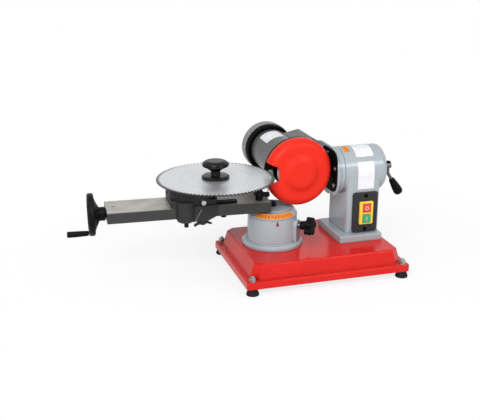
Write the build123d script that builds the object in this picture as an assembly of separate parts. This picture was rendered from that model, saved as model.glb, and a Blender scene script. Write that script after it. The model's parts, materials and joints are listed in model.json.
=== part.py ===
from build123d import *
import math
import os

# Bench grinder for circular saw blades. Millimetres. X runs right along the base, Y to the back, Z up.
# The origin is the centre of the base's footprint on the bench.

# Base and feet
BASE_LENGTH = 365.0
BASE_DEPTH = 260.0
BASE_CORNER = 6.0
SKIRT_BOTTOM = 14.3
SKIRT_TOP = 29.7
PLATEAU_LENGTH = (341.0, 320.0)
PLATEAU_DEPTH = (241.0, 234.0)
PLATEAU_CUT = (18.0, 14.0)
BASE_TOP = 62.0
BASE_WALL = 5.0
PLATEAU_ROUND = 4.0
FOOT_X = 168.4
FOOT_Y = 119.9
FOOT_RADIUS = (13.5, 11.0)
BOSS_RADIUS = 8.5
BOLT_RADIUS = 3.95
BOLT_HOLE = 4.25

# Pedestal, turntable and the swivel at which the arm stands
PEDESTAL_X = -84.9
PEDESTAL_Y = 7.1
PEDESTAL_FLANGE = 66.0
PEDESTAL_RADIUS = (55.0, 53.5)
PEDESTAL_TOP = 127.7
PEDESTAL_HOLLOW = 44.0
DISC_RADIUS = 54.0
DISC_BOTTOM = 128.0
DISC_TOP = 144.8
DISC_BEVEL = ((54.0, 131.0), (47.0, 141.0))
DISC_BOSS = 41.0
ARM_SWIVEL = -3.36
SCALE_SPAN = 95.0
SCALE_TURN = -11.2
SCALE_SKIN = 0.6
PIVOT_RADIUS = 5.0
LOCK_ANGLE = -40.7
LOCK_HEIGHT = 108.7
LOCK_FACE = 60.5
RIB_HALF = 12.0

# Arm, in its own frame: x along the arm from the swivel axis, y across it
ARM_LEFT = -357.7
ARM_RIGHT = -14.4
ARM_Y = (-44.0, 38.8)
ARM_TOP = 168.1
SLOT_LEFT = -345.7
SLOT_RIGHT = -118.0
SLOT_HALF = 14.0
SLOT_TOP = 163.0
SCREW_HEIGHT = 154.0
SCREW_RADIUS = 6.0
RUN = 0.05
WHEEL_X = (-394.0, -381.0)
WHEEL_RADIUS = 44.5
RIM_DEPTH = 10.0
HUB_RADIUS = 14.5
CRANK_RADIUS = 40.5
FINGER_X = -36.0
FINGER_Y = -24.0
ROD_X = -19.0
ROD_Y = -30.0

# Carriage, in the arm's frame
SADDLE_X = (-227.0, -130.0)
SADDLE_HALF = 46.0
WEB_FRONT = -50.0
CHEEK_Y = (41.9, 50.0)
SADDLE_TOP = 183.5
SADDLE_FLOOR = 138.5
SLIDE_GAP = 0.4
BOSS_X = -197.5
BOSS_Y = -44.0
BRACKET_X = -179.0
BRACKET_Y = -7.0
BRACKET_RADIUS = 48.5
BRACKET_TOP = 207.5
BLADE_X = -125.0
WING_X = -161.0
WING_Y = -40.0

# Saw blade and its clamp
BLADE_RADIUS = 125.0
BLADE_TEETH = 96
BLADE_BOTTOM = 213.1
BLADE_TOP = 215.5
BLADE_BORE = 15.0
KNOB_TOP = 253.5

# Column, switch and the head's tilt axis
TILT_Y = 20.5
TILT_Z = 209.7
HOUSING_X = (68.8, 170.0)
HOUSING_RADIUS = 51.5
POST_X = (73.0, 151.5)
POST_Y = (-30.7, 71.7)
COLUMN_FOOT_X = (52.5, 152.5)
COLUMN_FOOT_Y = (-50.0, 79.5)
COLUMN_FOOT_HEIGHT = 15.0
COLUMN_X = 106.8
COLUMN_Y = 22.1
COLUMN_HOLLOW_X = (86.0, 141.0)
COLUMN_HOLLOW_Y = (-23.0, 64.0)
SHAFT_RADIUS = 18.0
BUSH_RADIUS = 22.0
PLATE_X = (86.5, 145.0)
PLATE_Z = (79.0, 169.0)
PLATE_FACE = POST_Y[0] - 4.5
BEZEL_X = (100.7, 132.7)
BEZEL_Z = (97.0, 149.0)
BUTTON_SIZE = (19.0, 20.0)
BUTTON_TRAVEL = 3.0
GLAND_Z = 96.0

# Grinding head: the motor's axis runs along Y
HEAD_X = -31.1
HEAD_Z = 222.9
COLLAR_X = (45.2, 68.4)
COLLAR_RADIUS = 51.5
TILT_PLATE = (64.0, 4.0, 166.0)
TILT_TAIL = (88.0, 216.0, 45.0)
TILT_TOP = 267.0
BRACKET_Y_SPAN = (-38.0, 52.0)
BRACKET_Z_SPAN = (172.0, 263.0)
BRACKET_SHEET = 2.8
BRACKET_SCREWS = [(-31, 227), (-29, 190), (12, 253), (42, 184)]
MOTOR_RADIUS = 47.5
MOTOR_Y = (30.0, 182.0)
MOTOR_WALL = 3.5
CORE_Y = (72.0, 140.0)
FAN_Y = (209.0, 226.0)
COVER_RADIUS = 57.5
COVER_Y = (200.0, 236.0)
GUARD_X = HEAD_X - 1.5
GUARD_Z = HEAD_Z - 2.0
GUARD_RADIUS = 73.6
GUARD_RIM = 18.0
GUARD_Y = (-26.0, 0.0)
GUARD_SHEET = 3.0
DOME_RADIUS = 46.0
DOME_RISE = 7.0
GUARD_SCREWS = (30, 150, 270)
GUARD_SCREW_RADIUS = 33.0
NOTCH = [(-125, 255), (-96, 242.8), (-81.5, 238.3), (-80, 219), (-80, 211), (-83, 207.5), (-90, 205.5),
         (-125, 203)]
BACK_NOTCH = [(-125, 228), (-75, 228), (-75, 201), (-88, 197), (-94, 189), (-125, 176)]
WHEEL_SEAT = -12.0
WHEEL_DISC_RADIUS = 50.0
SPINDLE_RADIUS = 7.5
BOX_ANGLE = 13.0
BOX_Y = (54.0, 160.0)

# Clamp lever
LEVER_X = 193.0
GRIP_START = (202.0, 177.5)
GRIP_END = (225.0, 141.5)
GRIP_DEPTH = 0.6


def block(x, y, z):
    """A box from its low and high values along each axis."""
    size = Box(x[1] - x[0], y[1] - y[0], z[1] - z[0])
    return Pos((x[0] + x[1]) / 2, (y[0] + y[1]) / 2, (z[0] + z[1]) / 2) * size


def rod(axis, radius, low, high, at=(0.0, 0.0)):
    """A cylinder along an axis from low to high, through the point at in the other two axes."""
    solid = Cylinder(radius, high - low)
    middle = (low + high) / 2
    if axis == "x":
        return Pos(middle, at[0], at[1]) * Rot(0, 90, 0) * solid
    if axis == "y":
        return Pos(at[0], middle, at[1]) * Rot(-90, 0, 0) * solid
    return Pos(at[0], at[1], middle) * solid


def hexagon(axis, across, low, high, at=(0.0, 0.0)):
    """A six-sided prism, given its size across the flats."""
    radius = across / math.sqrt(3)
    solid = extrude(RegularPolygon(radius, 6), high - low)
    if axis == "x":
        return Pos(low, at[0], at[1]) * Rot(0, 90, 0) * solid
    if axis == "y":
        return Pos(at[0], low, at[1]) * Rot(-90, 0, 0) * solid
    return Pos(at[0], at[1], low) * solid


def turned(points):
    """A solid of revolution about Z from an outline of (radius, height) points."""
    return revolve(make_face(Plane.XZ * Polyline(*points, close=True)), Axis.Z)


def turned_curves(curves):
    """A solid of revolution about Z from lines and arcs drawn as (radius, height)."""
    edges = [edge for curve in curves for edge in curve.edges()]
    return revolve(Plane.XZ * make_face(edges), Axis.Z)


def turned_x(points, at):
    """A solid of revolution about a line along X, from (radius, x) points."""
    return Pos(0, at[0], at[1]) * Rot(0, 90, 0) * turned(points)


def turned_y(points, at):
    """A solid of revolution about a line along Y, from (radius, y) points."""
    return Pos(at[0], 0, at[1]) * Rot(-90, 0, 0) * turned(points)


def four_corners(x, y):
    return [(x, y), (-x, y), (x, -y), (-x, -y)]


def on_arm(shape):
    """Place a piece drawn in the arm's frame."""
    return Pos(PEDESTAL_X, PEDESTAL_Y, 0) * Rot(0, 0, ARM_SWIVEL) * shape


def group(shapes):
    """Separate solids of one node."""
    return Compound([solid for shape in shapes for solid in shape.solids()])


def cut_corner_outline(length, depth, cut):
    """A rectangle with its corners cut off."""
    x, y = length / 2, depth / 2
    points = [(x - cut, y), (x, y - cut), (x, cut - y), (x - cut, -y)]
    mirrored = [(-px, -py) for px, py in points]
    return make_face(Polyline(*points, *mirrored, close=True))


def plateau(inset, low, high):
    """The base's tapered upper part, drawn in from its outside by inset."""
    def outline(height):
        share = (height - SKIRT_TOP) / (BASE_TOP - SKIRT_TOP)
        length, depth, cut = (a + (b - a) * share for a, b in (PLATEAU_LENGTH, PLATEAU_DEPTH, PLATEAU_CUT))
        face = cut_corner_outline(length - 2 * inset, depth - 2 * inset, cut - 0.6 * inset)
        return Pos(0, 0, height) * face

    return loft([outline(low), outline(high)], ruled=True)


def base_shell():
    skirt = extrude(RectangleRounded(BASE_LENGTH, BASE_DEPTH, BASE_CORNER), SKIRT_TOP - SKIRT_BOTTOM)
    skirt = Pos(0, 0, SKIRT_BOTTOM) * skirt
    skirt = fillet(skirt.edges().group_by(Axis.Z)[-1], 3.0)
    upper = plateau(0, SKIRT_TOP - 1, BASE_TOP)
    upper = fillet(upper.edges().group_by(Axis.Z)[-1], PLATEAU_ROUND)
    ledge = SKIRT_TOP - BASE_WALL
    both_walls = 2 * BASE_WALL
    inside = RectangleRounded(BASE_LENGTH - both_walls, BASE_DEPTH - both_walls, BASE_CORNER - BASE_WALL)
    hollow = Pos(0, 0, SKIRT_BOTTOM - 1) * extrude(inside, ledge - SKIRT_BOTTOM + 1)
    hollow += plateau(BASE_WALL, ledge - 1, BASE_TOP - BASE_WALL)
    shell = skirt + upper - hollow
    for at in four_corners(FOOT_X, FOOT_Y):
        shell += rod("z", BOSS_RADIUS, SKIRT_BOTTOM, SKIRT_TOP - 1, at)
    for at in four_corners(FOOT_X, FOOT_Y):
        shell -= rod("z", BOLT_HOLE, 0, BASE_TOP, at)
    for at in screw_places():
        shell -= rod("z", 3.3, BASE_TOP - BASE_WALL - 1, BASE_TOP + 1, at)
    return shell


def screw_places():
    """Where screws come up through the base: four into the pedestal, four into the column's side walls."""
    pedestal = [
        (PEDESTAL_X + 49.5 * math.cos(math.radians(a)), PEDESTAL_Y + 49.5 * math.sin(math.radians(a)))
        for a in (45, 135, 225, 315)
    ]
    walls = ((POST_X[0] + COLUMN_HOLLOW_X[0]) / 2, (POST_X[1] + COLUMN_HOLLOW_X[1]) / 2)
    return pedestal + [(x, COLUMN_Y + y) for x in walls for y in (-32, 32)]


def rubber_feet():
    profile = [(4.1, 8), (7.8, 8), (7.8, 0), (FOOT_RADIUS[0], 0), (FOOT_RADIUS[0], 3)]
    profile += [(FOOT_RADIUS[1], 9), (FOOT_RADIUS[1], SKIRT_BOTTOM), (4.1, SKIRT_BOTTOM)]
    return group([Pos(x, y, 0) * turned(profile) for x, y in four_corners(FOOT_X, FOOT_Y)])


def foot_bolts():
    bolts = []
    for at in four_corners(FOOT_X, FOOT_Y):
        bolts.append(hexagon("z", 12.8, 2.7, 8.0, at) + rod("z", BOLT_RADIUS, 8.0, 41.0, at))
    return group(bolts)


def foot_nuts():
    nuts = []
    for at in four_corners(FOOT_X, FOOT_Y):
        hole = rod("z", BOLT_RADIUS + 0.1, SKIRT_TOP - 1, 42, at)
        nuts.append(rod("z", 8.0, SKIRT_TOP, SKIRT_TOP + 1.6, at) - hole)
        nuts.append(hexagon("z", 12.8, SKIRT_TOP + 1.6, SKIRT_TOP + 8.0, at) - hole)
    return group(nuts)


def lock_line(low, high, radius):
    """A cylinder on the lock knob's axis, from low to high out of the pedestal's axis."""
    turn = Pos(PEDESTAL_X, PEDESTAL_Y, LOCK_HEIGHT) * Rot(0, 0, LOCK_ANGLE)
    return turn * rod("x", radius, low, high)


def pedestal():
    """Hollow turned casting with a flange, and a rib that takes the lock's stud."""
    flange_top = BASE_TOP + 10
    profile = [(14, 84), (14, 118), (PEDESTAL_HOLLOW, 118), (PEDESTAL_HOLLOW, BASE_TOP)]
    profile += [(PEDESTAL_FLANGE, BASE_TOP), (PEDESTAL_FLANGE, flange_top - 4)]
    profile += [(PEDESTAL_FLANGE - 5, flange_top), (PEDESTAL_RADIUS[0], flange_top)]
    profile += [(PEDESTAL_RADIUS[1], PEDESTAL_TOP - 1.2)]
    profile += [(PEDESTAL_RADIUS[1] - 1.2, PEDESTAL_TOP), (9.05, PEDESTAL_TOP), (9.05, 84)]
    body = turned(profile)
    rims = body.edges().filter_by(GeomType.CIRCLE)
    body = fillet([rim for rim in rims if abs(rim.radius - PEDESTAL_RADIUS[0]) < 0.01], 1.5)
    rib = rod("x", RIB_HALF, 48, LOCK_FACE, (0, LOCK_HEIGHT))
    rib += block((48, LOCK_FACE), (-RIB_HALF, RIB_HALF), (flange_top - 4, LOCK_HEIGHT))
    body = Pos(PEDESTAL_X, PEDESTAL_Y, 0) * (body + Rot(0, 0, LOCK_ANGLE) * rib)
    body -= lock_line(30, 70, 4 + RUN)
    for at in screw_places()[:4]:
        body -= rod("z", 2.6, BASE_TOP - 1, BASE_TOP + 15, at)
    return body


def column():
    """Hollow post on a foot, with the round tilt housing across its top."""
    (left, right), (front, back) = COLUMN_FOOT_X, COLUMN_FOOT_Y
    foot = extrude(RectangleRounded(right - left, back - front, 4), COLUMN_FOOT_HEIGHT)
    foot = Pos((left + right) / 2, (front + back) / 2, BASE_TOP) * foot
    foot = fillet(foot.edges().group_by(Axis.Z)[-1], 2.0)
    width, depth = POST_X[1] - POST_X[0], POST_Y[1] - POST_Y[0]
    post = extrude(RectangleRounded(width, depth, 8), TILT_Z - BASE_TOP - 1)
    post = Pos((POST_X[0] + POST_X[1]) / 2, (POST_Y[0] + POST_Y[1]) / 2, BASE_TOP + 1) * post
    axis = (TILT_Y, TILT_Z)
    barrel = rod("x", HOUSING_RADIUS, HOUSING_X[0], HOUSING_X[1], axis)
    barrel = fillet(barrel.edges().group_by(Axis.X)[-1], 14.0)
    body = foot + post + barrel
    body -= rod("x", BUSH_RADIUS + 0.02, HOUSING_X[0] - 1, 150, axis)
    body -= rod("x", 7, 149, HOUSING_X[1] + 1, axis)
    body -= block(COLUMN_HOLLOW_X, COLUMN_HOLLOW_Y, (BASE_TOP - 1, 155))
    window = (BEZEL_X[0] + 1, BEZEL_X[1] - 1), (BEZEL_Z[0] + 1, BEZEL_Z[1] - 1)
    body -= block(window[0], (POST_Y[0] - 1, COLUMN_HOLLOW_Y[0] + 1), window[1])
    body -= rod("y", 8.1, COLUMN_HOLLOW_Y[1] - 1, POST_Y[1] + 1, (COLUMN_X + 7, GLAND_Z))
    for at in screw_places()[4:]:
        body -= rod("z", 2.6, BASE_TOP - 1, BASE_TOP + 14, at)
    for at in switch_screw_places():
        body -= rod("y", 1.8, POST_Y[0] - 1, POST_Y[0] + 7, at)
    return body


def machine_screws():
    """Hexagon screws under the base and the two screws of the switch plate."""
    screws = []
    for at in screw_places():
        head = hexagon("z", 8.0, BASE_TOP - BASE_WALL - 4, BASE_TOP - BASE_WALL, at)
        screws.append(head + rod("z", 2.5, BASE_TOP - BASE_WALL, BASE_TOP + 12, at))
    for at in switch_screw_places():
        head = rod("y", 3.2, PLATE_FACE - 1.6, PLATE_FACE, at)
        screws.append(head + rod("y", 1.7, PLATE_FACE, POST_Y[0] + 6, at))
    return group(screws)


def bushes():
    """Bronze bushes of the turntable's pivot and of the tilt shaft."""
    ring = [(PIVOT_RADIUS + RUN, 84), (9, 84), (9, PEDESTAL_TOP), (PIVOT_RADIUS + RUN, PEDESTAL_TOP)]
    pivot = Pos(PEDESTAL_X, PEDESTAL_Y, 0) * turned(ring)
    tilt = rod("x", BUSH_RADIUS, HOUSING_X[0] + 1, 149, (TILT_Y, TILT_Z))
    tilt -= rod("x", SHAFT_RADIUS + RUN, HOUSING_X[0], 150, (TILT_Y, TILT_Z))
    return group([pivot, tilt])


def switch_screw_places():
    middle = (PLATE_X[0] + PLATE_X[1]) / 2
    return [(middle, PLATE_Z[0] + 7), (middle, PLATE_Z[1] - 7)]


def button_place(row):
    """Centre of a button in the bezel: row 0 below, row 1 above."""
    height = BEZEL_Z[1] - BEZEL_Z[0]
    return (BEZEL_X[0] + BEZEL_X[1]) / 2, BEZEL_Z[0] + height * (0.27 + 0.46 * row)


def button_block(row, low, high, grow=0.0):
    x, z = button_place(row)
    half_x, half_z = BUTTON_SIZE[0] / 2 + grow, BUTTON_SIZE[1] / 2 + grow
    return block((x - half_x, x + half_x), (low, high), (z - half_z, z + half_z))


def switch_plate():
    plate = block(PLATE_X, (PLATE_FACE, POST_Y[0]), PLATE_Z)
    plate = fillet(plate.edges().filter_by(Axis.Y), 5.0)
    plate = chamfer(plate.faces().sort_by(Axis.Y)[0].edges(), 1.2)
    window = (BEZEL_X[0] + 2, BEZEL_X[1] - 2), (BEZEL_Z[0] + 2, BEZEL_Z[1] - 2)
    plate -= block(window[0], (PLATE_FACE - 1, POST_Y[0] + 1), window[1])
    for at in switch_screw_places():
        plate -= rod("y", 1.8, PLATE_FACE - 1, POST_Y[0] + 1, at)
    return plate


def switch_bezel():
    frame = block(BEZEL_X, (PLATE_FACE - 6, PLATE_FACE), BEZEL_Z)
    frame = fillet(frame.edges().filter_by(Axis.Y), 3.0)
    frame = chamfer(frame.faces().sort_by(Axis.Y)[0].edges(), 2.0)
    for row in (0, 1):
        frame -= button_block(row, PLATE_FACE - 7, PLATE_FACE + 1, 0.4)
    return frame


def switch_body():
    inner_x = (BEZEL_X[0] + 2.2, BEZEL_X[1] - 2.2)
    inner_z = (BEZEL_Z[0] + 2.2, BEZEL_Z[1] - 2.2)
    return block(inner_x, (PLATE_FACE + 1.8, PLATE_FACE + 42), inner_z)


def push_button(row):
    """A button that stands a little out of the bezel, with a bevelled front."""
    body = button_block(row, PLATE_FACE - 7.5, PLATE_FACE - BUTTON_TRAVEL + 1.5)
    body = fillet(body.edges().filter_by(Axis.Y), 2.0)
    return chamfer(body.faces().sort_by(Axis.Y)[0].edges(), 1.0)


def cable_gland():
    """Entry for the mains lead at the back of the column: hexagon, dome nut and a thread into the wall."""
    back = POST_Y[1]
    at = (COLUMN_X + 7, GLAND_Z)
    body = rod("y", 8.0, back - 7.5, back, at) + hexagon("y", 19.0, back, back + 6, at)
    body += turned_y([(0, back + 6), (8.4, back + 6), (8.4, back + 14), (5.5, back + 19), (0, back + 19)], at)
    return body - rod("y", 3.6, back - 9, back + 21, at)


def table_disc():
    """Turntable with a bevelled rim for the scale and a boss under the arm."""
    low, high = DISC_BEVEL
    profile = [(0, DISC_BOTTOM), (DISC_RADIUS, DISC_BOTTOM), low, high, (DISC_BOSS, high[1])]
    profile += [(DISC_BOSS, DISC_TOP), (0, DISC_TOP)]
    disc = turned(profile)
    disc -= rod("z", PIVOT_RADIUS + 0.1, DISC_BOTTOM - 1, DISC_TOP + 1)
    for at in arm_screw_places():
        disc -= rod("z", 3.2, DISC_BOTTOM - 1, DISC_TOP + 1, at)
        disc -= rod("z", 5.3, DISC_BOTTOM - 1, DISC_BOTTOM + 6, at)
    return on_arm(disc)


def arm_screw_places():
    return [(-33, 15), (-33, -15), (-21, 28), (-21, -28)]


def bevel_cone(low, high, out):
    """A cone that stands out from the turntable's bevel, between two heights."""
    (wide, foot), (narrow, top) = DISC_BEVEL
    slope = (narrow - wide) / (top - foot)
    radii = [wide + slope * (height - foot) + out for height in (low, high)]
    return turned([(0, low), (radii[0], low), (radii[1], high), (0, high)])


def angle_scale():
    """A thin band round the front of the turntable's bevel."""
    low, high = DISC_BEVEL[0][1] + 0.4, DISC_BEVEL[1][1] - 0.4
    half = math.radians(SCALE_SPAN / 2)
    reach = 2 * DISC_RADIUS
    wedge = [(0, 0), (-reach * math.sin(half), -reach * math.cos(half)), (0, -reach)]
    wedge.append((reach * math.sin(half), -reach * math.cos(half)))
    sector = Pos(0, 0, low) * extrude(make_face(Polyline(*wedge, close=True)), high - low)
    band = bevel_cone(low, high, SCALE_SKIN) - bevel_cone(low - 1, high + 1, 0.02)
    return Pos(PEDESTAL_X, PEDESTAL_Y, 0) * Rot(0, 0, SCALE_TURN) * (band & sector)


def pivot_bolt():
    """The turntable's bolt and washer, and the lock nut inside the pedestal."""
    bolt = rod("z", PIVOT_RADIUS, 70, DISC_TOP + 1.6) + hexagon("z", 13, DISC_TOP + 1.6, DISC_TOP + 8)
    washer = rod("z", 9, DISC_TOP, DISC_TOP + 1.6) - rod("z", PIVOT_RADIUS + 0.1, DISC_TOP - 1, DISC_TOP + 3)
    nut = hexagon("z", 16, 75.5, 83.5) - rod("z", PIVOT_RADIUS + 0.1, 70, 90)
    return on_arm(group([bolt, washer, nut]))


def arm_rail():
    bar = block((ARM_LEFT, ARM_RIGHT), ARM_Y, (DISC_TOP, ARM_TOP))
    bar = chamfer(bar.edges(), 0.8)
    bar -= block((SLOT_LEFT, SLOT_RIGHT), (-SLOT_HALF, SLOT_HALF), (DISC_TOP - 1, SLOT_TOP))
    bar -= rod("x", 8.02, ARM_LEFT - 1, SLOT_LEFT + 1, (0, SCREW_HEIGHT))
    bar -= rod("x", SCREW_RADIUS + RUN, SLOT_RIGHT - 1, SLOT_RIGHT + 18, (0, SCREW_HEIGHT))
    bar -= rod("z", 2.4, SLOT_TOP - 1, ARM_TOP + 1, (ARM_LEFT + 16, 0))
    for at in arm_screw_places():
        bar -= rod("z", 2.6, DISC_TOP - 1, DISC_TOP + 13, at)
    bar -= rod("z", 3.1, ARM_TOP - 12, ARM_TOP + 1, (FINGER_X, FINGER_Y))
    return on_arm(bar)


def arm_screws():
    screws = []
    for at in arm_screw_places():
        head = rod("z", 4.9, DISC_BOTTOM + 0.7, DISC_BOTTOM + 6, at)
        head -= hexagon("z", 4.5, DISC_BOTTOM, DISC_BOTTOM + 3.5, at)
        screws.append(head + rod("z", 2.5, DISC_BOTTOM + 6, DISC_TOP + 11, at))
    return on_arm(group(screws))


def screw_bush():
    """Bush of the lead screw in the arm's left end."""
    at = (0, SCREW_HEIGHT)
    bush = rod("x", 8, ARM_LEFT, SLOT_LEFT, at)
    return on_arm(bush - rod("x", SCREW_RADIUS + RUN, ARM_LEFT - 1, SLOT_LEFT + 1, at))


def finger_post():
    """Post of the index finger, screwed into the arm's top."""
    at = (FINGER_X, FINGER_Y)
    post = hexagon("z", 14, ARM_TOP, ARM_TOP + 5, at) + rod("z", 4.5, ARM_TOP + 5, ARM_TOP + 23, at)
    post += rod("z", 6.0, ARM_TOP + 20, ARM_TOP + 24, at)
    return on_arm(post + rod("z", 3.0, ARM_TOP - 10, ARM_TOP, at))


def finger_arm():
    """Clamp piece that turns on the post and holds the finger rod."""
    low, high = ARM_TOP + 6, ARM_TOP + 19
    eye = rod("z", 8.5, low, high, (FINGER_X, FINGER_Y))
    reach = (ROD_X - FINGER_X, ROD_Y - FINGER_Y)
    link = block((0, math.hypot(*reach)), (-3.5, 3.5), (low + 2, high - 2))
    eye += Pos(FINGER_X, FINGER_Y, 0) * Rot(0, 0, math.degrees(math.atan2(reach[1], reach[0]))) * link
    eye += rod("z", 4.2, low + 2, high - 2, (ROD_X, ROD_Y))
    eye += rod("x", 3.0, FINGER_X - 11, FINGER_X, (FINGER_Y, low + 7))
    eye -= rod("z", 4.5 + RUN, low - 1, high + 1, (FINGER_X, FINGER_Y))
    return on_arm(eye - rod("z", 1.35, low, high, (ROD_X, ROD_Y)))


def finger_rod():
    return on_arm(rod("z", 1.3, ARM_TOP + 1.5, BLADE_BOTTOM - 4, (ROD_X, ROD_Y)))


def lead_screw():
    screw = rod("x", SCREW_RADIUS, WHEEL_X[0] + 2.5, SLOT_RIGHT + 16, (0, SCREW_HEIGHT))
    return on_arm(chamfer(screw.edges(), 1.0))


def handwheel():
    """A dished wheel with three openings in its web."""
    left, right = WHEEL_X
    inner = WHEEL_RADIUS - RIM_DEPTH
    end = ARM_LEFT - 0.6
    profile = [(SCREW_RADIUS + RUN, left + 12), (13, left + 12), (inner, left + 6.5), (inner, left + 2.5)]
    profile += [(inner + 2.5, left), (WHEEL_RADIUS - 2.5, left), (WHEEL_RADIUS, left + 2.5)]
    profile += [(WHEEL_RADIUS, right - 2.5), (WHEEL_RADIUS - 2.5, right), (inner + 1.5, right)]
    profile += [(HUB_RADIUS, right + 10), (HUB_RADIUS, end - 1.5), (HUB_RADIUS - 1.5, end)]
    profile += [(SCREW_RADIUS + RUN, end)]
    wheel = turned_x(profile, (0, SCREW_HEIGHT))
    sector = make_face(Polyline((0, 0), (60, -44), (90, 0), (60, 44), close=True))
    window = (Circle(inner - 3) - Circle(HUB_RADIUS + 4)) & sector
    window = fillet(window.vertices(), 2.5)
    for angle in (30, 150, 270):
        cutter = Rot(0, 90, 0) * extrude(Rot(0, 0, angle) * window, 60)
        wheel -= Pos(left - 5, 0, SCREW_HEIGHT) * cutter
    crank_at = (0, SCREW_HEIGHT - CRANK_RADIUS)
    return on_arm(wheel - rod("x", 3.0, left - 1, right - 3, crank_at))


def wheel_nut():
    left = WHEEL_X[0]
    nut = hexagon("x", 18, left + 5.5, left + 12, (0, SCREW_HEIGHT))
    return on_arm(nut - rod("x", SCREW_RADIUS + RUN, left, left + 13, (0, SCREW_HEIGHT)))


def crank_pin():
    """Steel pin of the crank, with a head that keeps the grip on."""
    left = WHEEL_X[0]
    at = (0, SCREW_HEIGHT - CRANK_RADIUS)
    pin = rod("x", 2.95, left - 42, left + 10, at)
    return on_arm(pin + rod("x", 4.2, left - 43.5, left - 41.5, at))


def crank_grip():
    left = WHEEL_X[0]
    bore = 3.0
    profile = [(bore, left - 0.5), (5.4, left - 0.5), (5.4, left - 3), (6.4, left - 16), (6.2, left - 36)]
    profile += [(5.6, left - 44.6), (5.2, left - 45), (4.7, left - 45), (4.7, left - 41.2)]
    profile.append((bore, left - 41.2))
    return on_arm(turned_x(profile, (0, SCREW_HEIGHT - CRANK_RADIUS)))


def saddle():
    """Casting that wraps the arm: a top block, a round boss and a web in front, a plain cheek behind."""
    left, right = SADDLE_X
    inner = (ARM_Y[0] - SLIDE_GAP, ARM_Y[1] + SLIDE_GAP)
    top = block((left, right), (-SADDLE_HALF, SADDLE_HALF), (ARM_TOP + SLIDE_GAP, SADDLE_TOP))
    top = fillet(top.edges().filter_by(Axis.Z), 9.0)
    web = [(BOSS_X, SADDLE_FLOOR), (-152, SADDLE_FLOOR), (right, 149), (right, SADDLE_TOP - 11.5)]
    web.append((BOSS_X, SADDLE_TOP - 11.5))
    front = extrude(Plane.XZ * make_face(Polyline(*web, close=True)), inner[0] - WEB_FRONT)
    front = Pos(0, inner[0], 0) * front
    rear = block((left + 10, right), CHEEK_Y, (DISC_TOP - SLIDE_GAP, SADDLE_TOP - 4))
    floor = block((BOSS_X - 16, -152), (inner[0] - 2, CHEEK_Y[1]), (SADDLE_FLOOR, DISC_TOP - SLIDE_GAP))
    boss = rod("z", 19, SADDLE_FLOOR, SADDLE_TOP, (BOSS_X, BOSS_Y))
    boss = chamfer(boss.edges().group_by(Axis.Z)[0], 5.0)
    boss -= block((left, right), inner, (DISC_TOP - SLIDE_GAP, ARM_TOP + SLIDE_GAP))
    body = top + front + rear + floor + boss
    body -= rod("z", 3 + RUN, SADDLE_FLOOR - 1, DISC_TOP, (WING_X, WING_Y))
    body -= rod("z", 3.1, SADDLE_FLOOR - 1, SADDLE_FLOOR + 16, (BOSS_X, BOSS_Y - 8))
    body -= rod("y", 2.0, WEB_FRONT - 1, inner[0] + 1, (-165.2, 163.5))
    for at in bracket_bolt_places():
        body -= rod("y", 3.1, -SADDLE_HALF - 1, -SADDLE_HALF + 14, at)
    for x in nut_screw_places():
        body -= rod("z", 2.6, SADDLE_FLOOR - 1, DISC_TOP, (x, 0))
    for x in gib_screw_places():
        body -= rod("y", 2.6, CHEEK_Y[0] - 1, CHEEK_Y[1] + 1, (x, 156))
    return on_arm(body)


def bracket_bolt_places():
    return [(-160.1, 178.4)]


def nut_screw_places():
    return (BOSS_X + 6, BOSS_X + 24)


def gib_screw_places():
    return (-212, -180, -148)


def carriage_bolts():
    """Fasteners of the carriage: front bolt, boss bolt, lead nut screws and gib screws."""
    bolts = []
    for at in bracket_bolt_places():
        front = -SADDLE_HALF
        bolts.append(hexagon("y", 9, front - 4.5, front, at) + rod("y", 3, front, front + 12, at))
    at = (BOSS_X, BOSS_Y - 8)
    head = hexagon("z", 8, SADDLE_FLOOR - 9, SADDLE_FLOOR, at)
    bolts.append(head + rod("z", 3, SADDLE_FLOOR, SADDLE_FLOOR + 14, at))
    for x in nut_screw_places():
        head = rod("z", 4.4, SADDLE_FLOOR - 3, SADDLE_FLOOR, (x, 0))
        bolts.append(head + rod("z", 2.5, SADDLE_FLOOR, DISC_TOP + 2.5, (x, 0)))
    back = CHEEK_Y[1]
    for x in gib_screw_places():
        screw = rod("y", 2.5, CHEEK_Y[0] - 0.05, back + 4, (x, 156))
        bolts.append(screw + hexagon("y", 8, back, back + 3, (x, 156)))
    return on_arm(group(bolts))


def blade_bracket():
    """Round-backed casting on the saddle that reaches out to the blade's arbor."""
    big = Pos(BRACKET_X, BRACKET_Y) * Circle(BRACKET_RADIUS)
    small = Pos(BLADE_X, 0) * Circle(18)
    outline = make_hull((big + small).edges())
    body = Pos(0, 0, SADDLE_TOP) * extrude(outline, BRACKET_TOP - SADDLE_TOP)
    body = fillet(body.edges().group_by(Axis.Z)[-1], 3.0)
    return on_arm(body - rod("z", 6.1, SADDLE_TOP - 1, BRACKET_TOP + 1, (BLADE_X, 0)))


def lead_nut():
    """Bronze nut that hangs on the saddle's floor inside the arm's slot."""
    x = (BOSS_X, BOSS_X + 30)
    body = block(x, (-12, 12), (DISC_TOP - SLIDE_GAP, SLOT_TOP - 0.8))
    body -= rod("x", SCREW_RADIUS + RUN, x[0] - 1, x[1] + 1, (0, SCREW_HEIGHT))
    for screw_x in nut_screw_places():
        body -= rod("z", 2.6, SADDLE_FLOOR, DISC_TOP + 2.6, (screw_x, 0))
    return on_arm(body)


def gib_strip():
    across = (ARM_Y[1] + SLIDE_GAP, CHEEK_Y[0] - 0.1)
    return on_arm(block((-226, -141), across, (DISC_TOP + 2, ARM_TOP - 2)))


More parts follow.
